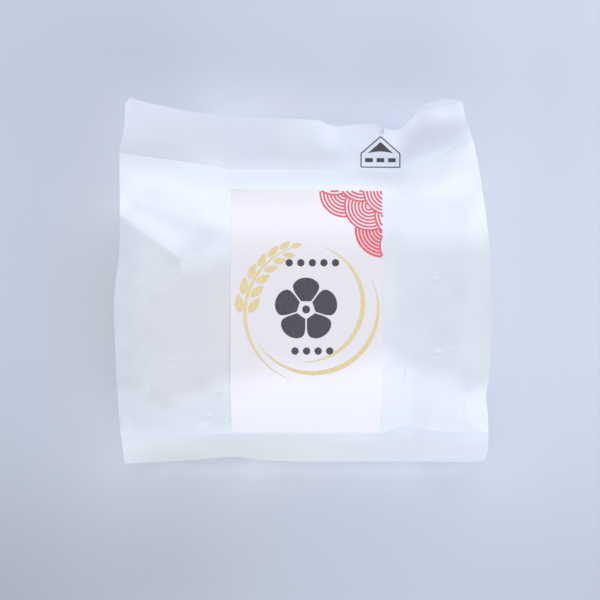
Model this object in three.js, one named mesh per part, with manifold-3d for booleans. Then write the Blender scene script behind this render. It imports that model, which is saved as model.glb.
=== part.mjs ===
// A wrapped rice ball lying on its back panel: a shut white film pack with side gussets, a seal across each
// end, a lapped seam underneath and a paper label over the front. Millimetres, +Z up, +Y towards the notched
// end seal that tears open. The pack is one solid, because it can't be seen into, and the label is another.
import * as THREE from "three";
import { mergeVertices } from "three/addons/utils/BufferGeometryUtils.js";
import Module from "manifold-3d";

// Driving dimensions of the filled pack.
const PACK_HEIGHT = 31; // from the table to the flat of the front panel
const REST_GAP = 0.35; // the back panel lies this far above the table, held up by its lapped seam
const GUSSET_DEPTH = 16; // how far a side gusset is tucked in at the end seals
const GUSSET_OPENS_OVER = 20; // distance from an end seal to where the gusset stands fully open
const GUSSET_CLEAR_OVER = 4; // and to where its tucked layers have come apart
const SIDE_BULGE = 0.9; // how far the open side wall swells past its folds
const BACK_FOLD_INSET = 1; // the back folds stand this much nearer the middle than the front ones
const SEAL_THICKNESS = 1; // the pressed end seals
const FRONT_FOLD_HEIGHT = 26.5; // front side folds, halfway along the pack
const BACK_FOLD_HEIGHT = 3; // back side folds, halfway along the pack

// The slopes of the filled pack, as rise over run, and the run of the rounded shoulders between them.
const UNDER_TOP_SLOPE = 1.95;
const UNDER_BOTTOM_SLOPE = 1.3;
const FRONT_FACET_SLOPE = 0.2;
const FRONT_FACET_START = 8.4; // y where the flat top turns down towards the top seal
const FOLD_RISE_TOP = 0.85;
const FOLD_RISE_BOTTOM = 0.95;
const FOLD_FALL_TOP = 1.1;
const FOLD_FALL_BOTTOM = 0.75;
const SHOULDER_SLOPE = 1.35;
const CREST_DROP = 0.7; // how much lower the flat top is at the side shoulders than in the middle
const CREST_HALF_WIDTH = 45;

// How much height the corners between those slopes lose to their rounding.
const FOLD_ROUNDING = 2;
const SHOULDER_ROUNDING = 3;
const FACET_ROUNDING = 0.5;
const TOP_WALL_ROUNDING = 1.2;
const BOTTOM_WALL_ROUNDING = 0.8;
const BACK_ROUNDING = 1.5;

// The plan of the pack: each curve is a few pairs of place and value that it runs smoothly through.
const LEFT_FOLD_X = curveThrough([
  [-48.6, -47.3], [-42, -47.8], [-27, -48.2], [-12, -48.7], [2, -47.9], [10, -47.1], [26, -47.3], [34, -47.9],
  [46, -46.1], [47.5, -45],
]);
const RIGHT_FOLD_X = curveThrough([
  [-48.3, 48.5], [-45, 49.2], [-35, 48.4], [-28, 47.3], [-20, 47.7], [-5, 48.6], [9, 48.2], [17, 47.6],
  [26, 46.6], [37.6, 44.4], [45.8, 41.1],
]);
const TOP_SEAL_Y = curveThrough([
  [-48, 33.3], [-30, 30.9], [-22, 29.9], [0, 29.2], [15, 28.8], [21, 28.3], [25, 27.9], [29.5, 29.4],
  [34.3, 31.4], [44.6, 37.6],
]);
const TOP_EDGE_Y = curveThrough([
  [-46.1, 46.2], [-45, 47.5], [-37, 45.7], [-28.3, 43.9], [-18.9, 42.9], [4.6, 41.8], [7.7, 40.5], [18, 40.9],
  [24.6, 39.4], [29.7, 43.7], [35.6, 45.1], [41.1, 45.8],
]);
const BOTTOM_SEAL_Y = curveThrough([[-48, -40.3], [20, -40.3], [27.7, -38.2], [34, -39.6], [49, -40.4]]);
const BOTTOM_EDGE_Y = curveThrough([
  [-47.3, -48.6], [-27.3, -47.8], [-18, -47.1], [-10, -48.1], [44, -48.3], [48.5, -47.9],
]);

// The heights of the end seals above the table, and of their free edges, from the left side to the right.
const TOP_SEAL_Z = curveThrough([[-48, 18.5], [-25, 17.2], [0, 17], [24, 15.5], [34, 16.5], [45, 17.5]]);
const TOP_EDGE_Z = curveThrough([
  [-45, 21], [-28, 18.5], [-10, 18.3], [4, 19.6], [9, 18.2], [20, 17.5], [25, 16.6], [30, 18.8], [36, 22],
  [41, 26.5],
]);
const BOTTOM_SEAL_Z = curveThrough([[-48, 14], [-20, 12.5], [20, 12], [28, 12.6], [49, 12.5]]);
const BOTTOM_EDGE_Z = curveThrough([[-47, 9.5], [-18, 6.8], [0, 7.4], [25, 6.4], [48, 8.5]]);
const TOP_WALL_SLOPE = curveThrough([
  [-48, 1.3], [-25, 1.7], [0, 2.2], [20, 2.6], [26, 2.1], [34, 1.6], [45, 1.3],
]);
const BOTTOM_WALL_RUN = curveThrough([
  [-45, 14], [-33, 11.5], [-20, 15.5], [0, 19], [20, 19], [41, 16.5], [48, 12],
]);
const BOTTOM_WALL_POWER = 1.7; // how quickly the front steepens towards the bottom seal
const BOTTOM_WALL_OVER = 0.4; // the wall aims this far above the flat top, so that they meet in a soft corner
const TOP_FIN_CURL = 1.5; // the top fin leaves its seal level and curls towards its edge by this power

// A fold that runs in from the left side fold: the film steps down past it and comes back up to the facet.
const FOLD_START = new THREE.Vector2(-47.5, 17.4);
const FOLD_END = new THREE.Vector2(-31.3, 6);
const FOLD_STEP = 1.9;
const FOLD_STEP_RUN = 3.6;
const FOLD_RETURN = [6, 14]; // distances from the fold where the film starts and ends coming back up
const FOLD_FADE_IN = [-3, 3]; // distances past the fold's start over which it deepens
const FOLD_FADE_OUT = [-1, 6]; // distances past its end over which it fades

// The lapped seam down the back panel, and the tear notch in the top edge.
const SEAM_X = [-3, 7];
const SEAM_STEP = 0.3; // width of the seam's edge, kept just off vertical
const NOTCH_X = 20.4;
const NOTCH_WIDTH = 1.6;
const NOTCH_DEPTH = 2;
const NOTCH_SHOULDER = 0.7; // share of its depth where the sides start to run together to a point
const NOTCH_MARGIN = 2; // the cut starts this far outside the edge

// The paper label on the front panel.
const LABEL_X = [-18.3, 20.5];
const LABEL_Y = [-40, 23.4];
const LABEL_GAP = 0.35;
const LABEL_THICKNESS = 0.3;

// Facets: the lines of the mesh, across the panels, down the gussets and along the pack.
const FRONT_LINES = [0, 0.015, 0.035, 0.06, 0.09, 0.13, 0.18, 0.235, 0.29, 0.345, 0.4, 0.45]; // to the middle
const BACK_LINES = [0, 0.03, 0.08, 0.15, 0.25, 0.37, 0.5, 0.64, 0.78, 0.91]; // from a side fold to the seam
const GUSSET_STEPS = 10;
const FIN_STEPS = 3;
const LABEL_COLUMNS = 14;
const LABEL_END_ROWS = [0.5, 1.2]; // distances from a label end to its extra rows
const INSET_SHARE = 0.2; // share of the length over which the back folds reach their inset
const BODY_LINES = [
  0, 0.008, 0.028, 0.055, 0.085, 0.12, 0.155, 0.195, 0.235, 0.28, 0.34, 0.4, 0.46, 0.52, 0.58, 0.63, 0.665,
  0.68, 0.695, 0.71, 0.73, 0.76, 0.79, 0.82, 0.85, 0.88, 0.9, 0.915, 0.93, 0.945, 0.96, 0.975, 0.991, 1,
];
const STRAIGHT_UP_TO = 0.72; // share of the length from which the lines start to follow the top seal
const STRAIGHT_DOWN_TO = 0.2; // and below which they follow the bottom seal

// A smooth curve through pairs of [place, value], level outside its ends.
function curveThrough(pairs) {
  const last = pairs.length - 1;
  const slope = pairs.map((_, i) => {
    const before = pairs[Math.max(i - 1, 0)];
    const after = pairs[Math.min(i + 1, last)];
    return (after[1] - before[1]) / (after[0] - before[0]);
  });
  return (place) => {
    if (place <= pairs[0][0]) return pairs[0][1];
    if (place >= pairs[last][0]) return pairs[last][1];
    const i = pairs.findIndex((pair) => pair[0] > place) - 1;
    const span = pairs[i + 1][0] - pairs[i][0];
    const k = (place - pairs[i][0]) / span;
    const start = pairs[i][1] * (1 + 2 * k) * (1 - k) ** 2 + slope[i] * span * k * (1 - k) ** 2;
    const end = pairs[i + 1][1] * k * k * (3 - 2 * k) - slope[i + 1] * span * k * k * (1 - k);
    return start + end;
  };
}

const mix = (a, b, share) => a + (b - a) * share;

// 0 before the first value, 1 after the second, and a smooth turn between.
function ease(from, to, value) {
  const k = THREE.MathUtils.clamp((value - from) / (to - from), 0, 1);
  return k * k * (3 - 2 * k);
}

// The lower of two heights, with the corner between them rounded over the given height.
function roundedMin(a, b, rounding) {
  const overlap = Math.max(rounding - Math.abs(a - b), 0) / rounding;
  return Math.min(a, b) - (overlap * overlap * rounding) / 4;
}

const roundedMax = (a, b, rounding) => -roundedMin(-a, -b, rounding);

// Height of the front (or back) side fold at a distance from each end seal.
function frontFoldHeight(x, y) {
  const nearTop = TOP_SEAL_Z(x) + SEAL_THICKNESS / 2 + FOLD_RISE_TOP * (TOP_SEAL_Y(x) - y);
  const nearBottom = BOTTOM_SEAL_Z(x) + SEAL_THICKNESS / 2 + FOLD_RISE_BOTTOM * (y - BOTTOM_SEAL_Y(x));
  return roundedMin(roundedMin(nearTop, FRONT_FOLD_HEIGHT, FOLD_ROUNDING), nearBottom, FOLD_ROUNDING);
}

function backFoldHeight(x, y) {
  const nearTop = TOP_SEAL_Z(x) - SEAL_THICKNESS / 2 - FOLD_FALL_TOP * (TOP_SEAL_Y(x) - y);
  const nearBottom = BOTTOM_SEAL_Z(x) - SEAL_THICKNESS / 2 - FOLD_FALL_BOTTOM * (y - BOTTOM_SEAL_Y(x));
  return roundedMax(roundedMax(nearTop, BACK_FOLD_HEIGHT, FOLD_ROUNDING), nearBottom, FOLD_ROUNDING);
}

// The step in the film beside the fold at the front's upper left.
function leftFoldStep(x, y) {
  const along = FOLD_END.clone().sub(FOLD_START);
  const length = along.length();
  along.divideScalar(length);
  const from = new THREE.Vector2(x, y).sub(FOLD_START);
  const travelled = from.dot(along);
  const past = from.x * -along.y + from.y * along.x;
  const down = ease(0, FOLD_STEP_RUN, past) * (1 - ease(...FOLD_RETURN, past));
  const gate = ease(...FOLD_FADE_IN, travelled) * (1 - ease(...FOLD_FADE_OUT, travelled - length));
  return -FOLD_STEP * down * gate;
}

// Height of the front panel's outside above the table.
function frontHeight(x, y) {
  const toTop = TOP_SEAL_Y(x) - y;
  const toBottom = y - BOTTOM_SEAL_Y(x);
  const toSide = Math.max(Math.min(x - LEFT_FOLD_X(y), RIGHT_FOLD_X(y) - x), 0);
  const topWall = TOP_SEAL_Z(x) + SEAL_THICKNESS / 2 + TOP_WALL_SLOPE(x) * toTop;
  const crest = PACK_HEIGHT - CREST_DROP * (x / CREST_HALF_WIDTH) ** 2;
  const facet = crest - FRONT_FACET_SLOPE * (y - FRONT_FACET_START);
  const shoulder = frontFoldHeight(x, y) + SHOULDER_SLOPE * toSide;
  const run = BOTTOM_WALL_RUN(x);
  const reached = Math.min(toBottom / run, 1);
  const bottomSeal = BOTTOM_SEAL_Z(x) + SEAL_THICKNESS / 2;
  const climb = crest + BOTTOM_WALL_OVER - bottomSeal;
  const bottomWall = bottomSeal + climb * (1 - (1 - reached) ** BOTTOM_WALL_POWER);
  const top = roundedMin(roundedMin(crest, facet, FACET_ROUNDING), topWall, TOP_WALL_ROUNDING);
  const ends = roundedMin(top, bottomWall, BOTTOM_WALL_ROUNDING);
  return roundedMin(ends, shoulder, SHOULDER_ROUNDING) + leftFoldStep(x, y);
}

// Height of the back panel's outside, without its seam.
function backHeight(x, y) {
  const toTop = TOP_SEAL_Y(x) - y;
  const toBottom = y - BOTTOM_SEAL_Y(x);
  const toSide = Math.max(Math.min(x - LEFT_FOLD_X(y), RIGHT_FOLD_X(y) - x) - BACK_FOLD_INSET, 0);
  const topWall = TOP_SEAL_Z(x) - SEAL_THICKNESS / 2 - UNDER_TOP_SLOPE * toTop;
  const bottomWall = BOTTOM_SEAL_Z(x) - SEAL_THICKNESS / 2 - UNDER_BOTTOM_SLOPE * toBottom;
  const shoulder = backFoldHeight(x, y) - SHOULDER_SLOPE * toSide;
  const ends = roundedMax(roundedMax(topWall, REST_GAP, BACK_ROUNDING), bottomWall, BACK_ROUNDING);
  return Math.max(roundedMax(ends, shoulder, SHOULDER_ROUNDING), REST_GAP);
}

// How far the seam stands out of the back panel at this x.
function seamHeight(x) {
  const pastLeftEdge = ease(SEAM_X[0] - SEAM_STEP, SEAM_X[0], x);
  const pastRightEdge = ease(SEAM_X[1], SEAM_X[1] + SEAM_STEP, x);
  return REST_GAP * pastLeftEdge * (1 - pastRightEdge);
}

// A line across the pack: the body runs from share 0 at the bottom seal to share 1 at the top seal, and the
// seals' fins carry on from there, below 0 and above 1, to their free edges at -1 and 2.
function lineY(share, x) {
  if (share > 1) return mix(TOP_SEAL_Y(x), TOP_EDGE_Y(x), share - 1);
  if (share < 0) return mix(BOTTOM_SEAL_Y(x), BOTTOM_EDGE_Y(x), -share);
  const straight = mix(BOTTOM_SEAL_Y(0), TOP_SEAL_Y(0), share);
  const towardsTop = ease(STRAIGHT_UP_TO, 1, share) * (TOP_SEAL_Y(x) - TOP_SEAL_Y(0));
  const towardsBottom = (1 - ease(0, STRAIGHT_DOWN_TO, share)) * (BOTTOM_SEAL_Y(x) - BOTTOM_SEAL_Y(0));
  return straight + towardsTop + towardsBottom;
}

// Middle height of the flat fins of the end seals.
function finHeight(share, x) {
  if (share > 1) return mix(TOP_SEAL_Z(x), TOP_EDGE_Z(x), (share - 1) ** TOP_FIN_CURL);
  return mix(BOTTOM_SEAL_Z(x), BOTTOM_EDGE_Z(x), -share);
}

// One closed section of the pack: the front panel from left to right, the right gusset, the back panel from
// right to left and the left gusset.
function section(share) {
  const inFin = share >= 1 || share <= 0;
  const foldX = { left: LEFT_FOLD_X(lineY(share, -47)), right: RIGHT_FOLD_X(lineY(share, 46)) };
  const inset = inFin ? 0 : BACK_FOLD_INSET * ease(0, INSET_SHARE, Math.min(share, 1 - share));
  const front = (x) => {
    const y = lineY(share, x);
    const z = inFin ? finHeight(share, x) + SEAL_THICKNESS / 2 : frontHeight(x, y);
    return new THREE.Vector3(x, y, z);
  };
  const back = (x) => {
    const y = lineY(share, x);
    const z = inFin ? finHeight(share, x) - SEAL_THICKNESS / 2 : backHeight(x, y);
    return new THREE.Vector3(x, y, z - (inFin ? 0 : seamHeight(x)));
  };
  const frontLines = [...FRONT_LINES, 0.5, ...FRONT_LINES.map((line) => 1 - line).reverse()];
  const seamLines = [SEAM_X[1] + SEAM_STEP, SEAM_X[1], SEAM_X[0], SEAM_X[0] - SEAM_STEP];
  const backLines = [
    ...BACK_LINES.map((line) => mix(foldX.right - inset, seamLines[0], line)),
    ...seamLines,
    ...BACK_LINES.map((line) => mix(foldX.left + inset, seamLines[3], line)).reverse(),
  ];
  const points = frontLines.map((line) => front(mix(foldX.left, foldX.right, line)));
  const backPoints = backLines.map(back);
  points.push(...gusset(share, points.at(-1), backPoints[0], -1));
  points.push(...backPoints);
  points.push(...gusset(share, backPoints.at(-1), points[0], 1));
  return points;
}

// The points of a side wall between its two folds: tucked in as a V at the seals, swelling out between them.
function gusset(share, from, to, inwards) {
  const fromSeal = Math.min(share, 1 - share) * (TOP_SEAL_Y(0) - BOTTOM_SEAL_Y(0));
  const open = ease(0, GUSSET_OPENS_OVER, fromSeal);
  const clear = ease(0, GUSSET_CLEAR_OVER, fromSeal);
  const points = [];
  for (let step = 1; step < GUSSET_STEPS; step++) {
    const down = step / GUSSET_STEPS;
    const point = from.clone().lerp(to, down);
    const tuck = GUSSET_DEPTH * clear * (1 - open) * (1 - Math.abs(2 * down - 1));
    const swell = SIDE_BULGE * open * Math.sin(Math.PI * down);
    point.x += inwards * (tuck - swell);
    point.y = lineY(share, point.x);
    points.push(point);
  }
  return points;
}

// A closed solid through rings of points, all with the same number of points. The triangles that close an end
// come from a function of that end's ring.
function loft(rings, endTriangles) {
  const around = rings[0].length;
  const index = [];
  for (let row = 0; row + 1 < rings.length; row++) {
    for (let i = 0; i < around; i++) {
      const a = row * around + i;
      const b = row * around + ((i + 1) % around);
      index.push(a, b, a + around, b, b + around, a + around);
    }
  }
  const lastRow = (rings.length - 1) * around;
  for (const [a, b, c] of endTriangles(rings[0])) index.push(a, c, b);
  for (const [a, b, c] of endTriangles(rings.at(-1))) {
    index.push(lastRow + a, lastRow + b, lastRow + c);
  }
  const positions = rings.flat().flatMap((point) => point.toArray());
  const geometry = new THREE.BufferGeometry();
  geometry.setAttribute("position", new THREE.Float32BufferAttribute(positions, 3));
  geometry.setIndex(index);
  return geometry;
}

// Triangles that close the end of a fin: a fan round its right side, pairs of front and back points from
// right to left, and a fan round its left side.
function finEnd(points) {
  const triangles = [];
  const frontCount = 2 * FRONT_LINES.length + 1;
  const backLast = points.length - GUSSET_STEPS;
  let front = frontCount - 2;
  let back = frontCount + GUSSET_STEPS;
  for (let i = frontCount - 1; i < back; i++) triangles.push([front, i, i + 1]);
  while (front > 1 || back < backLast - 1) {
    const frontIsNext = back >= backLast - 1 || points[front - 1].x >= points[back + 1].x;
    if (front > 1 && frontIsNext) {
      triangles.push([front - 1, front, back]);
      front--;
    } else {
      triangles.push([front, back, back + 1]);
      back++;
    }
  }
  for (let i = back; i < points.length; i++) triangles.push([front, i, (i + 1) % points.length]);
  return triangles;
}

// The label: a thin sheet a little above the front panel, as rings of its upper side and then its lower side.
function labelGeometry() {
  const lines = BODY_LINES.map((share) => lineY(share, 0));
  const rows = [
    LABEL_Y[0],
    ...lines.filter((y) => y > LABEL_Y[0] + LABEL_END_ROWS[0] && y < LABEL_Y[1] - 2 * LABEL_END_ROWS[1]),
    LABEL_Y[1] - LABEL_END_ROWS[1],
    LABEL_Y[1] - LABEL_END_ROWS[0],
    LABEL_Y[1],
  ];
  const columns = Array.from({ length: LABEL_COLUMNS + 1 }, (_, i) => mix(...LABEL_X, i / LABEL_COLUMNS));
  const above = (x, y, lift) => new THREE.Vector3(x, y, frontHeight(x, y) + lift);
  const rings = rows.map((y) => [
    ...columns.map((x) => above(x, y, LABEL_GAP + LABEL_THICKNESS)),
    ...columns.toReversed().map((x) => above(x, y, LABEL_GAP)),
  ]);
  return loft(rings, sheetEnd);
}

// Triangles that close the end of a sheet, between its upper side and its lower side.
function sheetEnd(points) {
  const last = points.length - 1;
  return Array.from({ length: LABEL_COLUMNS }, (_, i) => [
    [i, i + 1, last - i],
    [last - i, i + 1, last - i - 1],
  ]).flat();
}

const wasm = await Module();
wasm.setup();

function solidFrom(geometry) {
  return new wasm.Manifold(
    new wasm.Mesh({
      numProp: 3,
      vertProperties: geometry.getAttribute("position").array,
      triVerts: new Uint32Array(geometry.index.array),
    }),
  );
}

function geometryFrom(solid) {
  const mesh = solid.getMesh();
  const geometry = new THREE.BufferGeometry();
  geometry.setAttribute("position", new THREE.BufferAttribute(mesh.vertProperties, 3));
  geometry.setIndex(new THREE.BufferAttribute(mesh.triVerts, 1));
  return geometry;
}

// The V-shaped prism that the tear notch takes out of the top fin.
function notchCutter() {
  const edge = TOP_EDGE_Y(NOTCH_X);
  const [left, right] = [NOTCH_X - NOTCH_WIDTH / 2, NOTCH_X + NOTCH_WIDTH / 2];
  const shoulder = edge - NOTCH_DEPTH * NOTCH_SHOULDER;
  const outline = new THREE.Shape();
  outline.moveTo(left, edge + NOTCH_MARGIN);
  outline.lineTo(left, shoulder);
  outline.lineTo(NOTCH_X, edge - NOTCH_DEPTH);
  outline.lineTo(right, shoulder);
  outline.lineTo(right, edge + NOTCH_MARGIN);
  const cutter = new THREE.ExtrudeGeometry(outline, { depth: PACK_HEIGHT, bevelEnabled: false });
  cutter.deleteAttribute("normal");
  cutter.deleteAttribute("uv");
  return mergeVertices(cutter);
}

function packGeometry() {
  const bottomFin = Array.from({ length: FIN_STEPS }, (_, i) => -(FIN_STEPS - i) / FIN_STEPS);
  const topFin = Array.from({ length: FIN_STEPS }, (_, i) => 1 + (i + 1) / FIN_STEPS);
  const shares = [...bottomFin, ...BODY_LINES, ...topFin];
  const body = loft(shares.map(section), finEnd);
  return geometryFrom(solidFrom(body).subtract(solidFrom(notchCutter())));
}

const film = new THREE.MeshStandardMaterial({ name: "film", color: 0xe6ecf5, roughness: 0.45, metalness: 0 });
const paper = new THREE.MeshStandardMaterial({ name: "paper", color: 0xf6f5fa, roughness: 0.6, metalness: 0 });

const pack = new THREE.Mesh(packGeometry(), film);
pack.name = "pack";
const label = new THREE.Mesh(labelGeometry(), paper);
label.name = "label";

// The origin is under the middle of the whole, on the table.
const wrapped = new THREE.Group();
wrapped.add(pack, label);
const box = new THREE.Box3().setFromObject(wrapped);
wrapped.position.set(-(box.min.x + box.max.x) / 2, -(box.min.y + box.max.y) / 2, -box.min.z);

const model = new THREE.Group();
model.name = "wrapped_rice_ball";
model.add(wrapped);

export default model;
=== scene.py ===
"""A wrapped rice ball: a shut, frosted film pack with side gussets, end seals and a printed paper label.

The pack lies on its back panel. The script makes the fine film around the fixed frame: the filled body
with its creases, the two-leaf end seals, the lapped seam underneath, the label with its print, and a plain
studio. Sizes are in millimetres on the pack's own drawing, and a Drawing turns them into metres in the
frame. Shares that are painted on a mesh tell the materials where the film is damp, grey or warm; the grey
share also holds painted shade and painted highlights. The floor's colour holds painted light and shade.
"""

from __future__ import annotations

import logging
import math
from collections.abc import Callable
from dataclasses import dataclass, field, replace
from enum import Enum

import bpy
import numpy as np
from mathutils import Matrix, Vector

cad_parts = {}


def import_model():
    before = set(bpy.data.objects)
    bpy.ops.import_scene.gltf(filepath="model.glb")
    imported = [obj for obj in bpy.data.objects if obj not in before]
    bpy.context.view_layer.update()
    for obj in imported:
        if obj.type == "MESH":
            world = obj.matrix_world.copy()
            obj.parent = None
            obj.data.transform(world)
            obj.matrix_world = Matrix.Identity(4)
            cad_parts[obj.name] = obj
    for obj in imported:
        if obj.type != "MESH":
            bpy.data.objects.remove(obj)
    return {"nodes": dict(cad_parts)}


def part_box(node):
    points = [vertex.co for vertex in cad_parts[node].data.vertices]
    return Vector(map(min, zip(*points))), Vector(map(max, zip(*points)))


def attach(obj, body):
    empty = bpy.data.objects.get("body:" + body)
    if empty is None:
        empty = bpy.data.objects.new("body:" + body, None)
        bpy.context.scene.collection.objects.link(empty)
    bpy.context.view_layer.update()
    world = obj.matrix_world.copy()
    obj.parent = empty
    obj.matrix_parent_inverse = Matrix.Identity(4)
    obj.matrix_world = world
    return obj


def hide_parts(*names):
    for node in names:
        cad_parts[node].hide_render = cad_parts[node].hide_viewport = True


LOG = logging.getLogger("wrapped_rice_ball")
MM = 0.001
BODY = "root"
SHARP_DEGREES = 55.0

Array = np.ndarray
Point = tuple[float, float]
Color = tuple[float, float, float]
Face = tuple[int, ...]
Material = bpy.types.Material
Socket = bpy.types.NodeSocket


# ---- Curves and soft steps ----


def mix(start: Array | float, end: Array | float, share: Array | float) -> Array | float:
    """Value at a share of the way from start to end."""
    return start + (end - start) * share


def ease(start: float, end: float, value: Array | float) -> Array:
    """0 before start, 1 after end, and a smooth turn between."""
    share = np.clip((value - start) / (end - start), 0.0, 1.0)
    return share * share * (3.0 - 2.0 * share)


def lower_of(first: Array, second: Array, rounding: Array | float) -> Array:
    """The lower of two heights, with the corner between them rounded.

    Args:
        first: heights of one surface.
        second: heights of the other.
        rounding: height difference over which they blend.

    Returns:
        The blended heights.
    """
    overlap = np.maximum(rounding - np.abs(first - second), 0.0) / rounding
    return np.minimum(first, second) - overlap * overlap * rounding / 4.0


def higher_of(first: Array, second: Array, rounding: Array | float) -> Array:
    """The higher of two heights, with the corner between them rounded."""
    return -lower_of(-np.asarray(first), -np.asarray(second), rounding)


def beside(x: Array, y: Array, start: Point, end: Point) -> tuple[Array, Array, float]:
    """Where places lie beside a straight line.

    Args:
        x: places across the pack.
        y: places along it.
        start: start of the line.
        end: its end.

    Returns:
        How far along the line each place is, how far to its left, and the line's length.
    """
    run = np.array(end) - np.array(start)
    length = float(np.hypot(*run))
    along = run / length
    from_x = x - start[0]
    from_y = y - start[1]
    return from_x * along[0] + from_y * along[1], -from_x * along[1] + from_y * along[0], length


def away_from(x: Array, y: Array, start: Point, end: Point) -> Array:
    """Distance of each place from the straight line between two points.

    Args:
        x: places across the pack.
        y: places along it.
        start: start of the line.
        end: its end.

    Returns:
        The distances.
    """
    run_x, run_y = end[0] - start[0], end[1] - start[1]
    reached = (x - start[0]) * run_x + (y - start[1]) * run_y
    share = np.clip(reached / (run_x**2 + run_y**2), 0.0, 1.0)
    return np.hypot(x - start[0] - share * run_x, y - start[1] - share * run_y)


@dataclass(frozen=True)
class Curve:
    """A smooth curve through pairs of place and value, level outside its ends."""

    pairs: tuple[Point, ...]

    def __call__(self, place: Array | float) -> Array:
        """Values of the curve.

        Args:
            place: where to read it.

        Returns:
            One value for each place.
        """
        at = np.array([pair[0] for pair in self.pairs])
        value = np.array([pair[1] for pair in self.pairs])
        slope = np.empty_like(value)
        slope[1:-1] = (value[2:] - value[:-2]) / (at[2:] - at[:-2])
        slope[0] = (value[1] - value[0]) / (at[1] - at[0])
        slope[-1] = (value[-1] - value[-2]) / (at[-1] - at[-2])
        place = np.clip(np.asarray(place, float), at[0], at[-1])
        i = np.clip(np.searchsorted(at, place, side="right") - 1, 0, len(at) - 2)
        span = at[i + 1] - at[i]
        k = (place - at[i]) / span
        start = value[i] * (1 + 2 * k) * (1 - k) ** 2 + slope[i] * span * k * (1 - k) ** 2
        end = value[i + 1] * k * k * (3 - 2 * k) - slope[i + 1] * span * k * k * (1 - k)
        return start + end


@dataclass(frozen=True)
class Grain:
    """Smooth random lumps, the same on every run: their seed, their size in x and y, and their height."""

    seed: int
    cell: Point
    height: float = 1.0
    side: int = 96

    def __call__(self, x: Array, y: Array) -> Array:
        """Heights of the lumps.

        Args:
            x: places across the pack.
            y: places along it.

        Returns:
            Heights that stay between minus and plus the lumps' height.
        """
        angle = np.random.default_rng(self.seed).uniform(0.0, 2.0 * math.pi, (self.side, self.side))
        slope_x, slope_y = np.cos(angle), np.sin(angle)
        u = np.asarray(x, float) / self.cell[0]
        v = np.asarray(y, float) / self.cell[1]
        column = np.floor(u).astype(int)
        row = np.floor(v).astype(int)
        du, dv = u - column, v - row
        fade_u, fade_v = (step**3 * (step * (step * 6 - 15) + 10) for step in (du, dv))

        def corner(right: int, up: int) -> Array:
            """Height that one corner's slope gives.

            Args:
                right: 0 for the cell's left side and 1 for its right one.
                up: 0 for its lower side and 1 for its upper one.

            Returns:
                The heights.
            """
            i = (row + up) % self.side
            j = (column + right) % self.side
            return slope_x[i, j] * (du - right) + slope_y[i, j] * (dv - up)

        low = mix(corner(0, 0), corner(1, 0), fade_u)
        high = mix(corner(0, 1), corner(1, 1), fade_u)
        return self.height * (1.5 * mix(low, high, fade_v))


# ---- The drawing: the pack's sizes and its main surfaces ----


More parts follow.
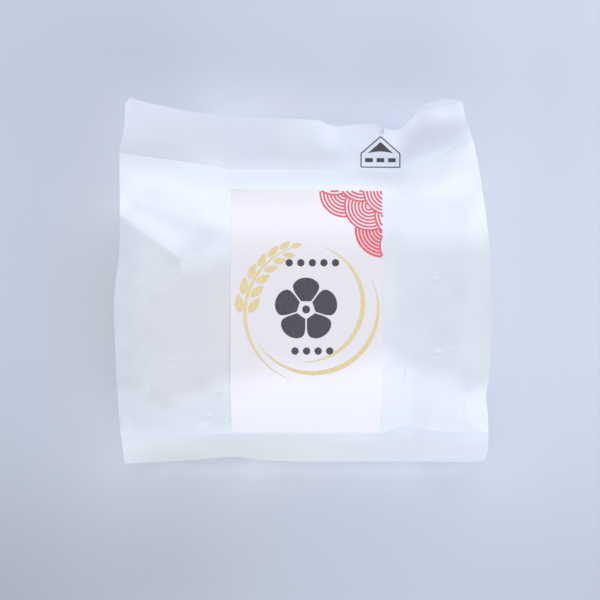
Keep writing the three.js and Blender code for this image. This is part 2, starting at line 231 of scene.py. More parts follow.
@dataclass(frozen=True)
class PackPlan:
    """Sizes of the filled pack and the heights of its front, back and fins."""

    height: float = 31.0
    rest_gap: float = 0.35
    gusset_depth: float = 16.0
    gusset_opens_over: float = 20.0
    gusset_clear_over: float = 4.0
    side_bulge: float = 0.3
    back_fold_inset: float = 1.0
    seal_thickness: float = 1.0
    front_fold_height: Point = (28.9, 27.8)
    back_fold_height: float = 3.0
    under_top_slope: float = 1.95
    under_bottom_slope: float = 1.3
    facet_slope: float = 0.2
    facet_start: float = 8.4
    fold_rise: Point = (0.95, 0.85)
    fold_fall: Point = (0.75, 1.1)
    shoulder_slope: Point = (0.7, 0.65)
    back_shoulder_slope: float = 1.35
    fold_rounding: float = 2.0
    shoulder_rounding: float = 3.0
    facet_rounding: float = 0.45
    wall_rounding: float = 3.6
    bottom_wall_rounding: float = 0.8
    underside_rounding: float = 1.5
    rounding_at_seal: float = 0.15
    rounding_run: float = 4.0
    crest_drop: float = 0.7
    crest_half_width: float = 45.0
    bottom_wall_power: float = 1.7
    bottom_wall_over: float = 0.4
    fold_start: Point = (-47.5, 17.4)
    fold_end: Point = (-31.3, 6.0)
    fold_step: float = 1.9
    fold_step_run: float = 3.6
    fold_return: Point = (6.0, 14.0)
    bends_to_seals: Point = (0.2, 0.72)
    left_fold_x: Curve = Curve((
        (-48.6, -47.2), (-42, -47.7), (-35.5, -47.85), (-31, -47.75), (-25.7, -47.7), (-15.4, -48.1),
        (-10.3, -48.3), (-5.2, -48.3), (0, -47.85), (5, -47.15), (10, -46.85), (15.3, -46.9),
        (23, -47.0), (28, -47.4), (34, -47.7), (36.5, -47.1), (39, -46.7), (41.7, -46.3), (44.2, -46.2),
        (46.5, -46.0),
    ))
    right_fold_x: Curve = Curve((
        (-48.3, 48.5), (-45, 49.2), (-35, 48.5), (-30.8, 47.65), (-25.7, 47.85), (-20, 48.15),
        (-12, 48.5), (-5, 48.55), (0, 48.4), (9, 48.0), (17, 47.05), (23, 46.2), (26, 45.85),
        (37.6, 44.2), (45.8, 41.1),
    ))
    top_seal_y: Curve = Curve((
        (-48, 33.3), (-30, 30.9), (-26, 30.3), (-22.8, 30.0), (-20, 29.2), (0, 29.1), (15, 28.8),
        (21, 28.3), (25, 27.9), (29.5, 29.4), (34.3, 31.4), (44.6, 37.6),
    ))
    top_edge_y: Curve = Curve((
        (-46.2, 46.2), (-45.6, 46.4), (-45.0, 47.2), (-44.4, 47.3), (-43.3, 46.9), (-37, 45.5),
        (-28.3, 43.9), (-18.9, 42.9), (-4, 42.1), (4.6, 41.5), (7.7, 40.3), (14, 40.7), (18, 40.8),
        (20.0, 40.7), (20.9, 39.9), (22.5, 39.5), (24.5, 39.35), (25.75, 39.8), (27.3, 41.1),
        (28.8, 42.7), (30.0, 43.9), (31.6, 44.75), (35.6, 45.2), (41.1, 45.8),
    ))
    bottom_seal_y: Curve = Curve(((-48, -40.3), (20, -40.3), (27.7, -38.2), (34, -39.6), (49, -40.4)))
    bottom_edge_y: Curve = Curve((
        (-47.3, -48.6), (-27.3, -47.8), (-18, -47.1), (-10, -48.1), (44, -48.3), (48.5, -47.9),
    ))
    top_seal_z: Curve = Curve(((-48, 18.5), (-25, 17.2), (0, 17), (24, 15.5), (34, 16.5), (45, 17.5)))
    top_edge_z: Curve = Curve((
        (-45, 21), (-28, 18.5), (-10, 18.3), (4, 19.6), (9, 18.2), (20, 17.5), (25, 16.6), (30, 18.8),
        (36, 22), (41, 26.5),
    ))
    bottom_seal_z: Curve = Curve(((-48, 14), (-20, 12.5), (20, 12), (28, 12.6), (49, 12.5)))
    bottom_edge_z: Curve = Curve(((-47, 9.5), (-18, 6.8), (0, 7.4), (25, 6.4), (48, 8.5)))
    top_wall_slope: Curve = Curve((
        (-48, 1.3), (-25, 1.7), (0, 2.2), (20, 2.6), (26, 2.1), (34, 1.6), (45, 1.3),
    ))
    bottom_wall_run: Curve = Curve((
        (-45, 14), (-33, 11.5), (-20, 15.5), (0, 19), (20, 19), (41, 16.5), (48, 12),
    ))
    fin_root_reach: float = 3.2
    body_root_reach: Point = (3.2, 7.0)
    top_root_rise: Curve = Curve((
        (-48, 0), (-30, 0.1), (-24, 0.7), (0, 1.1), (20, 1.2), (26, 1.3), (44, 1.2),
    ))
    bottom_root_rise: Curve = Curve(((-48, 1.5), (-10, 1.6), (20, 1.5), (49, 1.3)))

    @staticmethod
    def left_to_right(pair: Point, x: Array) -> Array:
        """A size that differs between the pack's left and right halves."""
        return mix(pair[0], pair[1], ease(-20.0, 20.0, x))

    def to_side(self, x: Array, y: Array) -> Array:
        """Distance in from the nearer side fold."""
        return np.maximum(np.minimum(x - self.left_fold_x(y), self.right_fold_x(y) - x), 0.0)

    def to_seal(self, x: Array, y: Array) -> Array:
        """Distance in from the nearer end seal."""
        return np.maximum(np.minimum(self.top_seal_y(x) - y, y - self.bottom_seal_y(x)), 0.0)

    def front_fold(self, x: Array, y: Array) -> Array:
        """Height of the front side fold.

        Args:
            x: places across the pack.
            y: places along it.

        Returns:
            The heights.
        """
        half = self.seal_thickness / 2
        near_top = self.top_seal_z(x) + half + self.fold_rise[1] * (self.top_seal_y(x) - y)
        near_bottom = self.bottom_seal_z(x) + half + self.fold_rise[0] * (y - self.bottom_seal_y(x))
        fold = lower_of(near_top, self.left_to_right(self.front_fold_height, x), self.fold_rounding)
        return lower_of(fold, near_bottom, self.fold_rounding)

    def back_fold(self, x: Array, y: Array) -> Array:
        """Height of the back side fold.

        Args:
            x: places across the pack.
            y: places along it.

        Returns:
            The heights.
        """
        half = self.seal_thickness / 2
        near_top = self.top_seal_z(x) - half - self.fold_fall[1] * (self.top_seal_y(x) - y)
        near_bottom = self.bottom_seal_z(x) - half - self.fold_fall[0] * (y - self.bottom_seal_y(x))
        fold = higher_of(near_top, self.back_fold_height, self.fold_rounding)
        return higher_of(fold, near_bottom, self.fold_rounding)

    def left_fold_drop(self, x: Array, y: Array) -> Array:
        """How far the film has stepped down beside the fold at the front's upper left.

        Args:
            x: places across the pack.
            y: places along it.

        Returns:
            The drop, which is 0 away from the fold.
        """
        travelled, past, length = beside(x, y, self.fold_start, self.fold_end)
        down = ease(0.0, self.fold_step_run, past) * (1.0 - ease(*self.fold_return, past))
        gate = ease(-3.0, 3.0, travelled) * (1.0 - ease(-1.0, 6.0, travelled - length))
        return self.fold_step * down * gate

    @staticmethod
    def root(rise: Array, away: Array, reach: float) -> Array:
        """How far the film is lifted where it turns softly from the body into a fin.

        Args:
            rise: the lift on the seal line.
            away: distance from that line.
            reach: distance at which the lift ends.

        Returns:
            The lift.
        """
        return rise * np.maximum(1.0 - np.abs(away) / reach, 0.0) ** 2

    def near_seal(self, x: Array, y: Array) -> Array:
        """Share of the full rounding between panels, which is sharper at the seals."""
        away = ease(0.0, self.rounding_run, self.to_seal(x, y))
        return self.rounding_at_seal + (1.0 - self.rounding_at_seal) * away

    def front(self, x: Array, y: Array) -> Array:
        """Height of the front panel, without its fine creases.

        Args:
            x: places across the pack.
            y: places along it.

        Returns:
            The heights.
        """
        half = self.seal_thickness / 2
        to_top = self.top_seal_y(x) - y
        to_bottom = y - self.bottom_seal_y(x)
        top_wall = self.top_seal_z(x) + half + self.top_wall_slope(x) * to_top
        crest = self.height - self.crest_drop * (x / self.crest_half_width) ** 2
        facet = crest - self.facet_slope * (y - self.facet_start)
        shoulder = self.front_fold(x, y) + self.left_to_right(self.shoulder_slope, x) * self.to_side(x, y)
        reached = np.clip(to_bottom / self.bottom_wall_run(x), 0.0, 1.0)
        seal = self.bottom_seal_z(x) + half
        wall_rise = crest + self.bottom_wall_over - seal
        bottom_wall = seal + wall_rise * (1.0 - (1.0 - reached) ** self.bottom_wall_power)
        near_seal = self.near_seal(x, y)
        roof = lower_of(crest, facet, self.facet_rounding)
        top = lower_of(roof, top_wall, self.wall_rounding * near_seal)
        ends = lower_of(top, bottom_wall, self.bottom_wall_rounding)
        smooth = lower_of(ends, shoulder, self.shoulder_rounding * near_seal) - self.left_fold_drop(x, y)
        near_bottom, near_top = self.body_root_reach
        roots = self.root(self.top_root_rise(x), to_top, near_top)
        return smooth + roots + self.root(self.bottom_root_rise(x), to_bottom, near_bottom)

    def back(self, x: Array, y: Array) -> Array:
        """Height of the back panel's outside.

        Args:
            x: places across the pack.
            y: places along it.

        Returns:
            The heights.
        """
        half = self.seal_thickness / 2
        to_top = self.top_seal_y(x) - y
        to_bottom = y - self.bottom_seal_y(x)
        to_side = np.maximum(self.to_side(x, y) - self.back_fold_inset, 0.0)
        top_wall = self.top_seal_z(x) - half - self.under_top_slope * to_top
        bottom_wall = self.bottom_seal_z(x) - half - self.under_bottom_slope * to_bottom
        shoulder = self.back_fold(x, y) - self.back_shoulder_slope * to_side
        under = higher_of(top_wall, self.rest_gap, self.underside_rounding)
        ends = higher_of(under, bottom_wall, self.underside_rounding)
        rounding = self.shoulder_rounding * self.near_seal(x, y)
        return np.maximum(higher_of(ends, shoulder, rounding), self.rest_gap)

    def line_y(self, share: Array, x: Array) -> Array:
        """A line across the filled body, from the bottom seal at share 0 to the top seal at share 1.

        Args:
            share: how far along the body each row lies.
            x: places across the pack.

        Returns:
            y of the line at each place.
        """
        straight = mix(float(self.bottom_seal_y(0.0)), float(self.top_seal_y(0.0)), share)
        low, high = self.bends_to_seals
        to_top = ease(high, 1.0, share) * (self.top_seal_y(x) - self.top_seal_y(0.0))
        to_bottom = (1.0 - ease(0.0, low, share)) * (self.bottom_seal_y(x) - self.bottom_seal_y(0.0))
        return straight + to_top + to_bottom


# ---- Fine relief of the film ----


class Profile(Enum):
    """How a crease rises from the film around it: as a pinched ridge or as a rounded wave."""

    SHARP = "sharp"
    SOFT = "soft"


@dataclass(frozen=True)
class Crease:
    """A crease in the film, seen in plan.

    A negative height makes a valley. Its middle bows sideways by the bend, and it fades at both ends.
    """

    start: Point
    end: Point
    height: float
    width: float
    profile: Profile = Profile.SHARP
    bend: float = 0.0
    fade: float = 0.25

    def at(self, x: Array, y: Array) -> Array:
        """Heights that the crease adds.

        Args:
            x: places across the pack.
            y: places along it.

        Returns:
            The added heights.
        """
        travelled, aside, length = beside(x, y, self.start, self.end)
        share = travelled / length
        aside = aside - 4.0 * self.bend * share * (1.0 - share)
        gate = ease(0.0, self.fade, share) * ease(0.0, self.fade, 1.0 - share)
        if self.profile is Profile.SHARP:
            shape = np.exp(-np.abs(aside) / self.width)
        else:
            shape = np.exp(-((aside / self.width) ** 2))
        return self.height * gate * shape


@dataclass(frozen=True)
class Patch:
    """A soft-edged patch of the film, given by a few points round its edge.

    Its strength may fade out towards the top of the pack, between two values of y.
    """

    outline: tuple[Point, ...]
    softness: float = 1.5
    strength: float = 1.0
    top_fade: Point = (100.0, 101.0)

    def inside(self, x: Array, y: Array) -> Array:
        """How far each place is in the patch.

        Args:
            x: places across the pack.
            y: places along it.

        Returns:
            0 outside, the strength inside, and values between near the edge.
        """
        corners = np.array(self.outline)
        nearest = np.full(np.shape(x), 1e9)
        odd = np.zeros(np.shape(x), bool)
        for start, end in zip(corners, np.roll(corners, -1, axis=0)):
            nearest = np.minimum(nearest, away_from(x, y, start, end))
            (ax, ay), (bx, by) = start, end
            crosses = (ay > y) != (by > y)
            if ay != by:
                odd ^= crosses & (x < ax + (y - ay) * (bx - ax) / (by - ay))
        edge = ease(-self.softness, self.softness, np.where(odd, nearest, -nearest))
        return self.strength * edge * (1.0 - ease(*self.top_fade, y))


@dataclass(frozen=True)
class Spot:
    """A round soft dimple, bump or stain: its middle, radii, turn and height or strength."""

    middle: Point
    radii: Point
    amount: float
    turn: float = 0.0

    def at(self, x: Array, y: Array) -> Array:
        """Amount of the spot at these places.

        Args:
            x: places across the pack.
            y: places along it.

        Returns:
            The amounts.
        """
        c, s = math.cos(self.turn), math.sin(self.turn)
        u = ((x - self.middle[0]) * c + (y - self.middle[1]) * s) / self.radii[0]
        v = (-(x - self.middle[0]) * s + (y - self.middle[1]) * c) / self.radii[1]
        return self.amount * np.exp(-(u * u + v * v))


def total(marks: tuple[Crease | Spot, ...], x: Array, y: Array) -> Array:
    """What all the marks add up to at these places."""
    return sum((mark.at(x, y) for mark in marks), np.zeros(np.shape(x)))


@dataclass(frozen=True)
class RiceBed:
    """Rice grains pressed against the inside of the film, which show as low lumps."""

    seed: int = 11
    rows: Point = (-40.0, 30.0)
    columns: Point = (-48.0, 49.0)
    pitch: float = 4.1
    row_pitch: float = 0.8
    jitter: float = 0.16
    sizes: Point = (0.85, 1.2)
    length: float = 3.0
    width: float = 1.9
    height: float = 0.06
    reach: float = 4.0

    def lift(self, x: Array, y: Array) -> Array:
        """Height of the highest grain over each place.

        Args:
            x: places across the pack.
            y: places along it.

        Returns:
            Heights from 0 to the grains' height.
        """
        draw = np.random.default_rng(self.seed)
        top = np.zeros(np.shape(x))
        for row, middle_y in enumerate(np.arange(*self.rows, self.pitch * self.row_pitch)):
            first = self.columns[0] + (row % 2) * self.pitch / 2
            for middle_x in np.arange(first, self.columns[1], self.pitch):
                px, py = draw.normal((middle_x, middle_y), self.pitch * self.jitter)
                turn, size = draw.uniform(0.0, math.pi), draw.uniform(*self.sizes)
                close = (np.abs(x - px) < self.reach) & (np.abs(y - py) < self.reach)
                dx, dy = x[close] - px, y[close] - py
                u = (dx * math.cos(turn) + dy * math.sin(turn)) / (self.length * size)
                v = (-dx * math.sin(turn) + dy * math.cos(turn)) / (self.width * size)
                dome = np.maximum(1.0 - u * u - v * v, 0.0)
                top[close] = np.maximum(top[close], self.height * size * dome)
        return top


@dataclass(frozen=True)
class FilmRelief:
    """The creases, crinkles and lumps that the film has on top of the plan's smooth surfaces."""

    damp: tuple[Patch, ...] = (
        Patch(((-52, 20.4), (-31.3, 5.6), (-30.5, 1), (-30, -14), (-52, -14)), 0.9, 0.86),
        Patch(((-52, 4), (-34, 4), (-34, -29), (-52, -30)), 5, 0.86),
        Patch((
            (-44, -4), (-36, 2), (-31, 4.5), (-17, 7.5), (-10, 8.5), (-10, -23), (-17, -26),
            (-24, -29.5), (-31, -33), (-36, -34), (-41, -32), (-45, -14),
        ), 5.4, 0.93),
        Patch((
            (17, 22), (52, 22), (52, -26.5), (47.5, -26.7), (42.0, -27.3), (38.7, -24.2), (35, -23.6),
            (31, -23), (25, -20), (17, -16.5),
        ), 3.2, 0.78, (5.0, 18.0)),
    )
    creases: tuple[Crease, ...] = (
        Crease((-47.4, 17.3), (-31, 6.2), 0.12, 0.5),
        Crease((-46, 20.4), (-30, 9.4), 0.3, 1.4, Profile.SOFT),
        Crease((-31.5, 6.4), (-20, 9.2), 0.12, 1),
        Crease((41.9, -29.8), (42.2, -36), 0.45, 0.35),
        Crease((26.4, -22.6), (26.5, -26.2), 0.4, 0.3),
        Crease((-47.2, -34.8), (-46.5, -40), 0.4, 0.3),
        Crease((-46, -36), (-45.4, -40), 0.3, 0.3),
        Crease((21.5, 8.6), (46.5, 8.3), 0.10, 0.6),
        Crease((46, 27), (46.8, 9), 0.25, 0.7),
        Crease((-15.4, 24.6), (-13.4, 26.6), 0.5, 0.4),
        Crease((-42, 23), (-30, 12.5), -0.3, 2.4, Profile.SOFT),
        Crease((-28, 27), (-24, 14), 0.15, 1.6, Profile.SOFT),
        Crease((28, 26), (36, 12), 0.18, 2.4, Profile.SOFT),
        Crease((-30, -39), (-26, -29), 0.2, 1.5, Profile.SOFT),
        Crease((24, -38), (28, -27), 0.15, 1.8, Profile.SOFT),
        Crease((33, -39), (36.5, -28), 0.15, 1.4, Profile.SOFT),
    )
    drops: tuple[Spot, ...] = (
        Spot((-23.9, -35), (0.5, 0.45), 0.22),
        Spot((-21.3, -28.5), (0.6, 0.35), 0.16),
        Spot((-20, -36.4), (0.45, 0.4), 0.2),
        Spot((-33.3, -20.1), (0.7, 0.35), 0.14),
        Spot((33.8, 0.4), (0.5, 0.5), 0.14),
        Spot((36.4, 2.4), (0.45, 0.45), 0.12),
        Spot((34.5, -18.2), (0.75, 0.42), 0.2),
        Spot((37.5, -17.6), (0.7, 0.4), 0.08),
    )
    rice: RiceBed = RiceBed()
    loose_waves: tuple[Grain, ...] = (Grain(21, (9.0, 5.5), 0.10), Grain(22, (3.2, 2.6), 0.05))
    crisp_height: float = 0.06
    crisp_lumps: Grain = Grain(23, (6.0, 4.0))
    damp_lumps: Grain = Grain(24, (2.2, 2.0))
    damp_height: float = 0.03
    damp_wander: Grain = Grain(5, (5.0, 5.0), 0.9)
    edge_run: float = 2.0
    side_start: float = 0.6
    smooth_under_label: float = 0.9
    # Painted highlight on each drop, painted shade on its lower side, and how far down that shade lies.
    bead_highlight: float = 2.4
    bead_shade: float = 2.2
    bead_shade_offset: float = 0.65

    def bead_light_and_shade(self) -> tuple[Spot, ...]:
        """Painted highlight and shade of the drops: each is painted pale, with a painted darker lower side.

        Returns:
            Spots to add to the film's greyness.
        """
        pale = [replace(drop, amount=-self.bead_highlight * drop.amount) for drop in self.drops]
        dark = []
        for drop in self.drops:
            middle = (drop.middle[0], drop.middle[1] - self.bead_shade_offset)
            dark.append(replace(drop, middle=middle, amount=self.bead_shade * drop.amount))
        return (*pale, *dark)

    def dampness(self, x: Array, y: Array) -> Array:
        """How closely the film lies on damp rice, from 0 to 1."""
        wander = self.damp_wander(x, y)
        return np.maximum.reduce([patch.inside(x + wander, y - wander) for patch in self.damp])

    def front(self, plan: PackPlan, x: Array, y: Array, under_label: Array) -> Array:
        """Fine heights on the front panel.

        Args:
            plan: the pack's drawing.
            x: places across the pack.
            y: places along it.
            under_label: how far each place is under the label, where the film lies smooth.

        Returns:
            Heights to add to the plan's front.
        """
        marks = total(self.creases, x, y) + total(self.drops, x, y)
        damp = self.dampness(x, y)
        wide, narrow = self.loose_waves
        loose = wide(x, y) + narrow(x, y)
        crisp = self.crisp_height * (0.5 - np.abs(self.crisp_lumps(x + 0.4 * y, y)))
        lumps = damp * self.rice.lift(x, y) + self.damp_height * damp * self.damp_lumps(x, y)
        from_edge = np.minimum(plan.to_seal(x, y), plan.to_side(x, y) + self.side_start)
        fine = marks + (1.0 - damp) * (loose + crisp) + lumps
        return fine * ease(0.0, self.edge_run, from_edge) * (1.0 - self.smooth_under_label * under_label)


# ---- Meshes ----


@dataclass
class Shape:
    """Points and faces of one piece, in drawing millimetres, with its painted shares at each point.

    Its last faces may be shaded flat, so that they don't bend the light where they meet the others.
    """

    points: Array
    faces: list[Face]
    paint: dict[str, Array] = field(default_factory=dict)
    flat: int = 0


def new_piece(
    name: str, points: Array, faces: list[Face], paint: dict[str, Array], finish: Material
) -> bpy.types.Object:
    """Makes an object and puts it in the scene.

    Args:
        name: name of the object and its mesh.
        points: its points in millimetres, as count by 3.
        faces: its faces.
        paint: painted shares by name, one value for each point.
        finish: its material.

    Returns:
        The object.
    """
    mesh = bpy.data.meshes.new(name)
    mesh.from_pydata((points * MM).tolist(), [], faces)
    for layer_name, share in paint.items():
        layer = mesh.attributes.new(layer_name, "FLOAT", "POINT")
        layer.data.foreach_set("value", np.asarray(share, np.float32).reshape(-1))
    mesh.materials.append(finish)
    piece = bpy.data.objects.new(name, mesh)
    bpy.context.scene.collection.objects.link(piece)
    return piece


@dataclass(frozen=True)
class Drawing:
    """Turns drawing millimetres into metres in the frame, and makes the pieces' objects."""

    shift: Point

    @staticmethod
    def beside(node: str, left: float, bottom: float) -> Drawing:
        """The drawing that lies so that a node's lowest x and y are at these values.

        Args:
            node: name of the frame's node.
            left: lowest x of the node on the drawing.
            bottom: lowest y of the node on the drawing.

        Returns:
            The drawing.
        """
        low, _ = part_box(node)
        return Drawing((low.x / MM - left, low.y / MM - bottom))

    def object(self, name: str, shape: Shape, finish: Material, slot: str) -> bpy.types.Object:
        """Makes one piece that rides on the pack.

        Args:
            name: name of the piece.
            shape: its points and faces.
            finish: its material.
            slot: not used.

        Returns:
            The object.
        """
        points = shape.points + np.array([*self.shift, 0.0])
        piece = new_piece(name, points, shape.faces, shape.paint, finish)
        mesh = piece.data
        round_faces = len(shape.faces) - shape.flat
        mesh.polygons.foreach_set("use_smooth", [True] * round_faces + [False] * shape.flat)
        mesh.validate()
        mesh.update()
        mesh.set_sharp_from_angle(angle=math.radians(SHARP_DEGREES))
        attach(piece, BODY)
        LOG.info("%s: %d points, %d faces", name, len(shape.points), len(shape.faces))
        return piece


def grid_faces(rows: int, columns: int, first: int = 0, flip: bool = False) -> list[Face]:
    """Quads of a grid of points.

    Args:
        rows: rows of points.
        columns: points in a row.
        first: index of the grid's first point.
        flip: turns the faces round.

    Returns:
        The faces.
    """
    faces = []
    for row in range(rows - 1):
        for column in range(columns - 1):
            a = first + row * columns + column
            quad = (a, a + 1, a + columns + 1, a + columns)
            faces.append(quad[::-1] if flip else quad)
    return faces


def closed_sheet(
    x: Array, y: Array, top: Array, bottom: Array, paint: dict[str, Array] | None = None
) -> Shape:
    """A thin closed solid over a grid of places, whose rows run along +Y and columns along +X.

    Args:
        x: places across the pack, as rows by columns.
        y: places along it.
        top: heights of the upper side.
        bottom: heights of the lower side.
        paint: painted shares on the grid, the same on both sides.

    Returns:
        The solid.
    """
    rows, columns = top.shape
    count = rows * columns
    faces = grid_faces(rows, columns) + grid_faces(rows, columns, count, flip=True)
    rim = [(0, c) for c in range(columns)]
    rim += [(r, columns - 1) for r in range(1, rows)]
    rim += [(rows - 1, c) for c in range(columns - 2, -1, -1)]
    rim += [(r, 0) for r in range(rows - 2, 0, -1)]
    ids = [r * columns + c for r, c in rim]
    for a, b in zip(ids, ids[1:] + ids[:1]):
        faces.append((b, a, a + count, b + count))
    points = np.concatenate([np.stack([x, y, z], axis=-1).reshape(-1, 3) for z in (top, bottom)])
    shares = {name: np.tile(value.reshape(-1), 2) for name, value in (paint or {}).items()}
    return Shape(points, faces, shares)


def joined(shapes: list[Shape]) -> Shape:
    """Several solids as one piece.

    Args:
        shapes: the solids.

    Returns:
        The piece.
    """
    faces: list[Face] = []
    first = 0
    for shape in shapes:
        faces += [tuple(first + i for i in face) for face in shape.faces]
        first += len(shape.points)
    names = shapes[0].paint.keys()
    paint = {name: np.concatenate([shape.paint[name] for shape in shapes]) for name in names}
    return Shape(np.concatenate([shape.points for shape in shapes]), faces, paint)


# ---- Finishes ----


def new_material(name: str, roughness: float, specular: float) -> tuple[Material, bpy.types.Node]:
    """A material with one Principled shader.

    Args:
        name: name of the material.
        roughness: roughness of the surface.
        specular: specular level.

    Returns:
        The material and its shader node.
    """
    material = bpy.data.materials.new(name)
    material.use_nodes = True
    shader = material.node_tree.nodes["Principled BSDF"]
    shader.inputs["Roughness"].default_value = roughness
    shader.inputs["Specular IOR Level"].default_value = specular
    return material, shader


class NodeDesk:
    """Short ways to add and join shader nodes in one material."""

    def __init__(self, material: Material) -> None:
        """Takes the material's node tree."""
        self.nodes = material.node_tree.nodes
        self.links = material.node_tree.links

    def place(self) -> Socket:
        """Object coordinates, in metres."""
        return self.nodes.new("ShaderNodeTexCoord").outputs["Object"]

    def noise(self, scale: float, detail: float) -> Socket:
        """Noise from 0 to 1, with lumps of about 1/scale metres.

        Args:
            scale: lumps in a metre.
            detail: how many finer layers it has.

        Returns:
            The noise.
        """
        node = self.nodes.new("ShaderNodeTexNoise")
        node.inputs["Scale"].default_value = scale
        node.inputs["Detail"].default_value = detail
        self.links.new(self.place(), node.inputs["Vector"])
        return node.outputs["Fac"]

    def paint(self, name: str) -> Socket:
        """A painted share of the mesh.

        Args:
            name: name of the share.

        Returns:
            The share.
        """
        node = self.nodes.new("ShaderNodeAttribute")
        node.attribute_name = name
        return node.outputs["Fac"]

    def span(self, value: Socket, low: Point, high: Point) -> Socket:
        """Maps a value from one span to another.

        Args:
            value: the value.
            low: the input that gives a result, and that result.
            high: the other such pair.

        Returns:
            The mapped value, held between the two results.
        """
        node = self.nodes.new("ShaderNodeMapRange")
        node.inputs["From Min"].default_value, node.inputs["To Min"].default_value = low
        node.inputs["From Max"].default_value, node.inputs["To Max"].default_value = high
        self.links.new(value, node.inputs["Value"])
        return node.outputs["Result"]

    def times(self, first: Socket, second: Socket) -> Socket:
        """Product of two values.

        Args:
            first: one value.
            second: the other.

        Returns:
            The product.
        """
        node = self.nodes.new("ShaderNodeMath")
        node.operation = "MULTIPLY"
        self.links.new(first, node.inputs[0])
        self.links.new(second, node.inputs[1])
        return node.outputs["Value"]

    def blend(self, share: Socket, low: Socket | Color, high: Socket | Color) -> Socket:
        """Colour between two colours.

        Args:
            share: 0 for the low colour, 1 for the high one.
            low: a colour or a socket.
            high: a colour or a socket.

        Returns:
            The mixed colour.
        """
        node = self.nodes.new("ShaderNodeMix")
        node.data_type = "RGBA"
        self.links.new(share, node.inputs["Factor"])
        for socket, color in ((node.inputs[6], low), (node.inputs[7], high)):
            if isinstance(color, tuple):
                socket.default_value = (*color, 1.0)
            else:
                self.links.new(color, socket)
        return node.outputs[2]

    def bump(self, height: Socket, strength: float, depth: float, under: Socket | None = None) -> Socket:
        """A bumped normal.

        Args:
            height: height from 0 to 1.
            strength: share of the bump that shows.
            depth: real depth in metres.
            under: a normal to bump further.

        Returns:
            The normal.
        """
        node = self.nodes.new("ShaderNodeBump")
        node.inputs["Strength"].default_value = strength
        node.inputs["Distance"].default_value = depth
        self.links.new(height, node.inputs["Height"])
        if under is not None:
            self.links.new(under, node.inputs["Normal"])
        return node.outputs["Normal"]


@dataclass(frozen=True)
class FrostedFilm:
    """Frosted film: cool white where it stands free, greyer where it is unbacked or lies on damp rice, and
    with painted shade and painted highlights laid into its grey share.
    """

    name: str = "frosted_film"
    white: Color = (0.78, 0.815, 0.855)
    grey: Color = (0.584, 0.611, 0.643)
    cloud: Color = (0.552, 0.577, 0.619)
    warm: Color = (0.638, 0.613, 0.6)
    roughness: float = 0.5
    specular: float = 0.3
    cloud_scale: float = 170.0
    grain_scale: float = 2600.0
    grain_bump: Point = (0.25, 0.00002)
    wave_scale: float = 420.0
    wave_bump: Point = (0.2, 0.00006)

    def material(self) -> Material:
        """Makes the material.

        Returns:
            The material.
        """
        material, shader = new_material(self.name, self.roughness, self.specular)
        desk = NodeDesk(material)
        clouds = desk.span(desk.noise(self.cloud_scale, 4.0), (0.4, 0.0), (0.68, 1.0))
        clouded = desk.blend(desk.times(clouds, desk.paint("damp")), self.grey, self.cloud)
        warmed = desk.blend(desk.paint("warm"), clouded, self.warm)
        # The grey share holds damp and unbacked film, and also painted shade and painted highlights.
        color = desk.blend(desk.paint("grey"), self.white, warmed)
        desk.links.new(color, shader.inputs["Base Color"])
        grain = desk.bump(desk.noise(self.grain_scale, 2.0), *self.grain_bump)
        waves = desk.bump(desk.noise(self.wave_scale, 3.0), *self.wave_bump, grain)
        desk.links.new(waves, shader.inputs["Normal"])
        return material


@dataclass(frozen=True)
class LabelPaper:
    """Smooth white label paper, slightly greyer where the film under it lies on damp rice, with painted
    shade along its top.
    """

    white: Color = (0.85, 0.833, 0.855)
    # The damp colour also paints the shade along the label's top.
    damp: Color = (0.70, 0.676, 0.694)
    roughness: float = 0.55
    specular: float = 0.3
    fibre_scale: float = 3000.0
    fibre_bump: Point = (0.2, 0.00001)

    def material(self) -> Material:
        """Makes the material.

        Returns:
            The material.
        """
        material, shader = new_material("label_paper", self.roughness, self.specular)
        desk = NodeDesk(material)
        desk.links.new(desk.blend(desk.paint("damp"), self.white, self.damp), shader.inputs["Base Color"])
        fibres = desk.bump(desk.noise(self.fibre_scale, 2.0), *self.fibre_bump)
        desk.links.new(fibres, shader.inputs["Normal"])
        return material


@dataclass(frozen=True)
class PrintInk:
    """A print ink, with the slight unevenness of a label press."""

    name: str
    color: Color
    thin: Color
    roughness: float = 0.5
    specular: float = 0.3
    cover_scale: float = 1500.0

    def material(self) -> Material:
        """Makes the material.

        Returns:
            The material.
        """
        material, shader = new_material(self.name, self.roughness, self.specular)
        desk = NodeDesk(material)
        cover = desk.span(desk.noise(self.cover_scale, 3.0), (0.35, 0.0), (0.6, 1.0))
        desk.links.new(desk.blend(cover, self.thin, self.color), shader.inputs["Base Color"])
        return material


# ---- The pack ----


@dataclass(frozen=True)
class LabelPlan:
    """Where the label lies on the front panel."""

    left: float = -18.3
    right: float = 20.5
    bottom: float = -40.0
    top: float = 23.2
    lean: Point = (-0.25, -0.2)
    sag: Point = (0.1, 0.3)
    left_lift: float = 0.12
    gap: float = -0.03
    thickness: float = 0.12
    margin: float = 1.0

    def sides(self, y: Array) -> tuple[Array, Array]:
        """x of the left and right edges, which lean a little towards the bottom."""
        down = (self.top - y) / (self.top - self.bottom)
        return self.left + self.lean[0] * down, self.right + self.lean[1] * down

    def covers(self, x: Array, y: Array) -> Array:
        """How far each place is under the label, from 0 to 1.

        Args:
            x: places across the pack.
            y: places along it.

        Returns:
            The shares.
        """
        left, right = self.sides(y)
        inside_x = np.minimum(x - left, right - x)
        inside_y = np.minimum(y - self.bottom, self.top - y)
        return ease(-self.margin, self.margin, np.minimum(inside_x, inside_y))


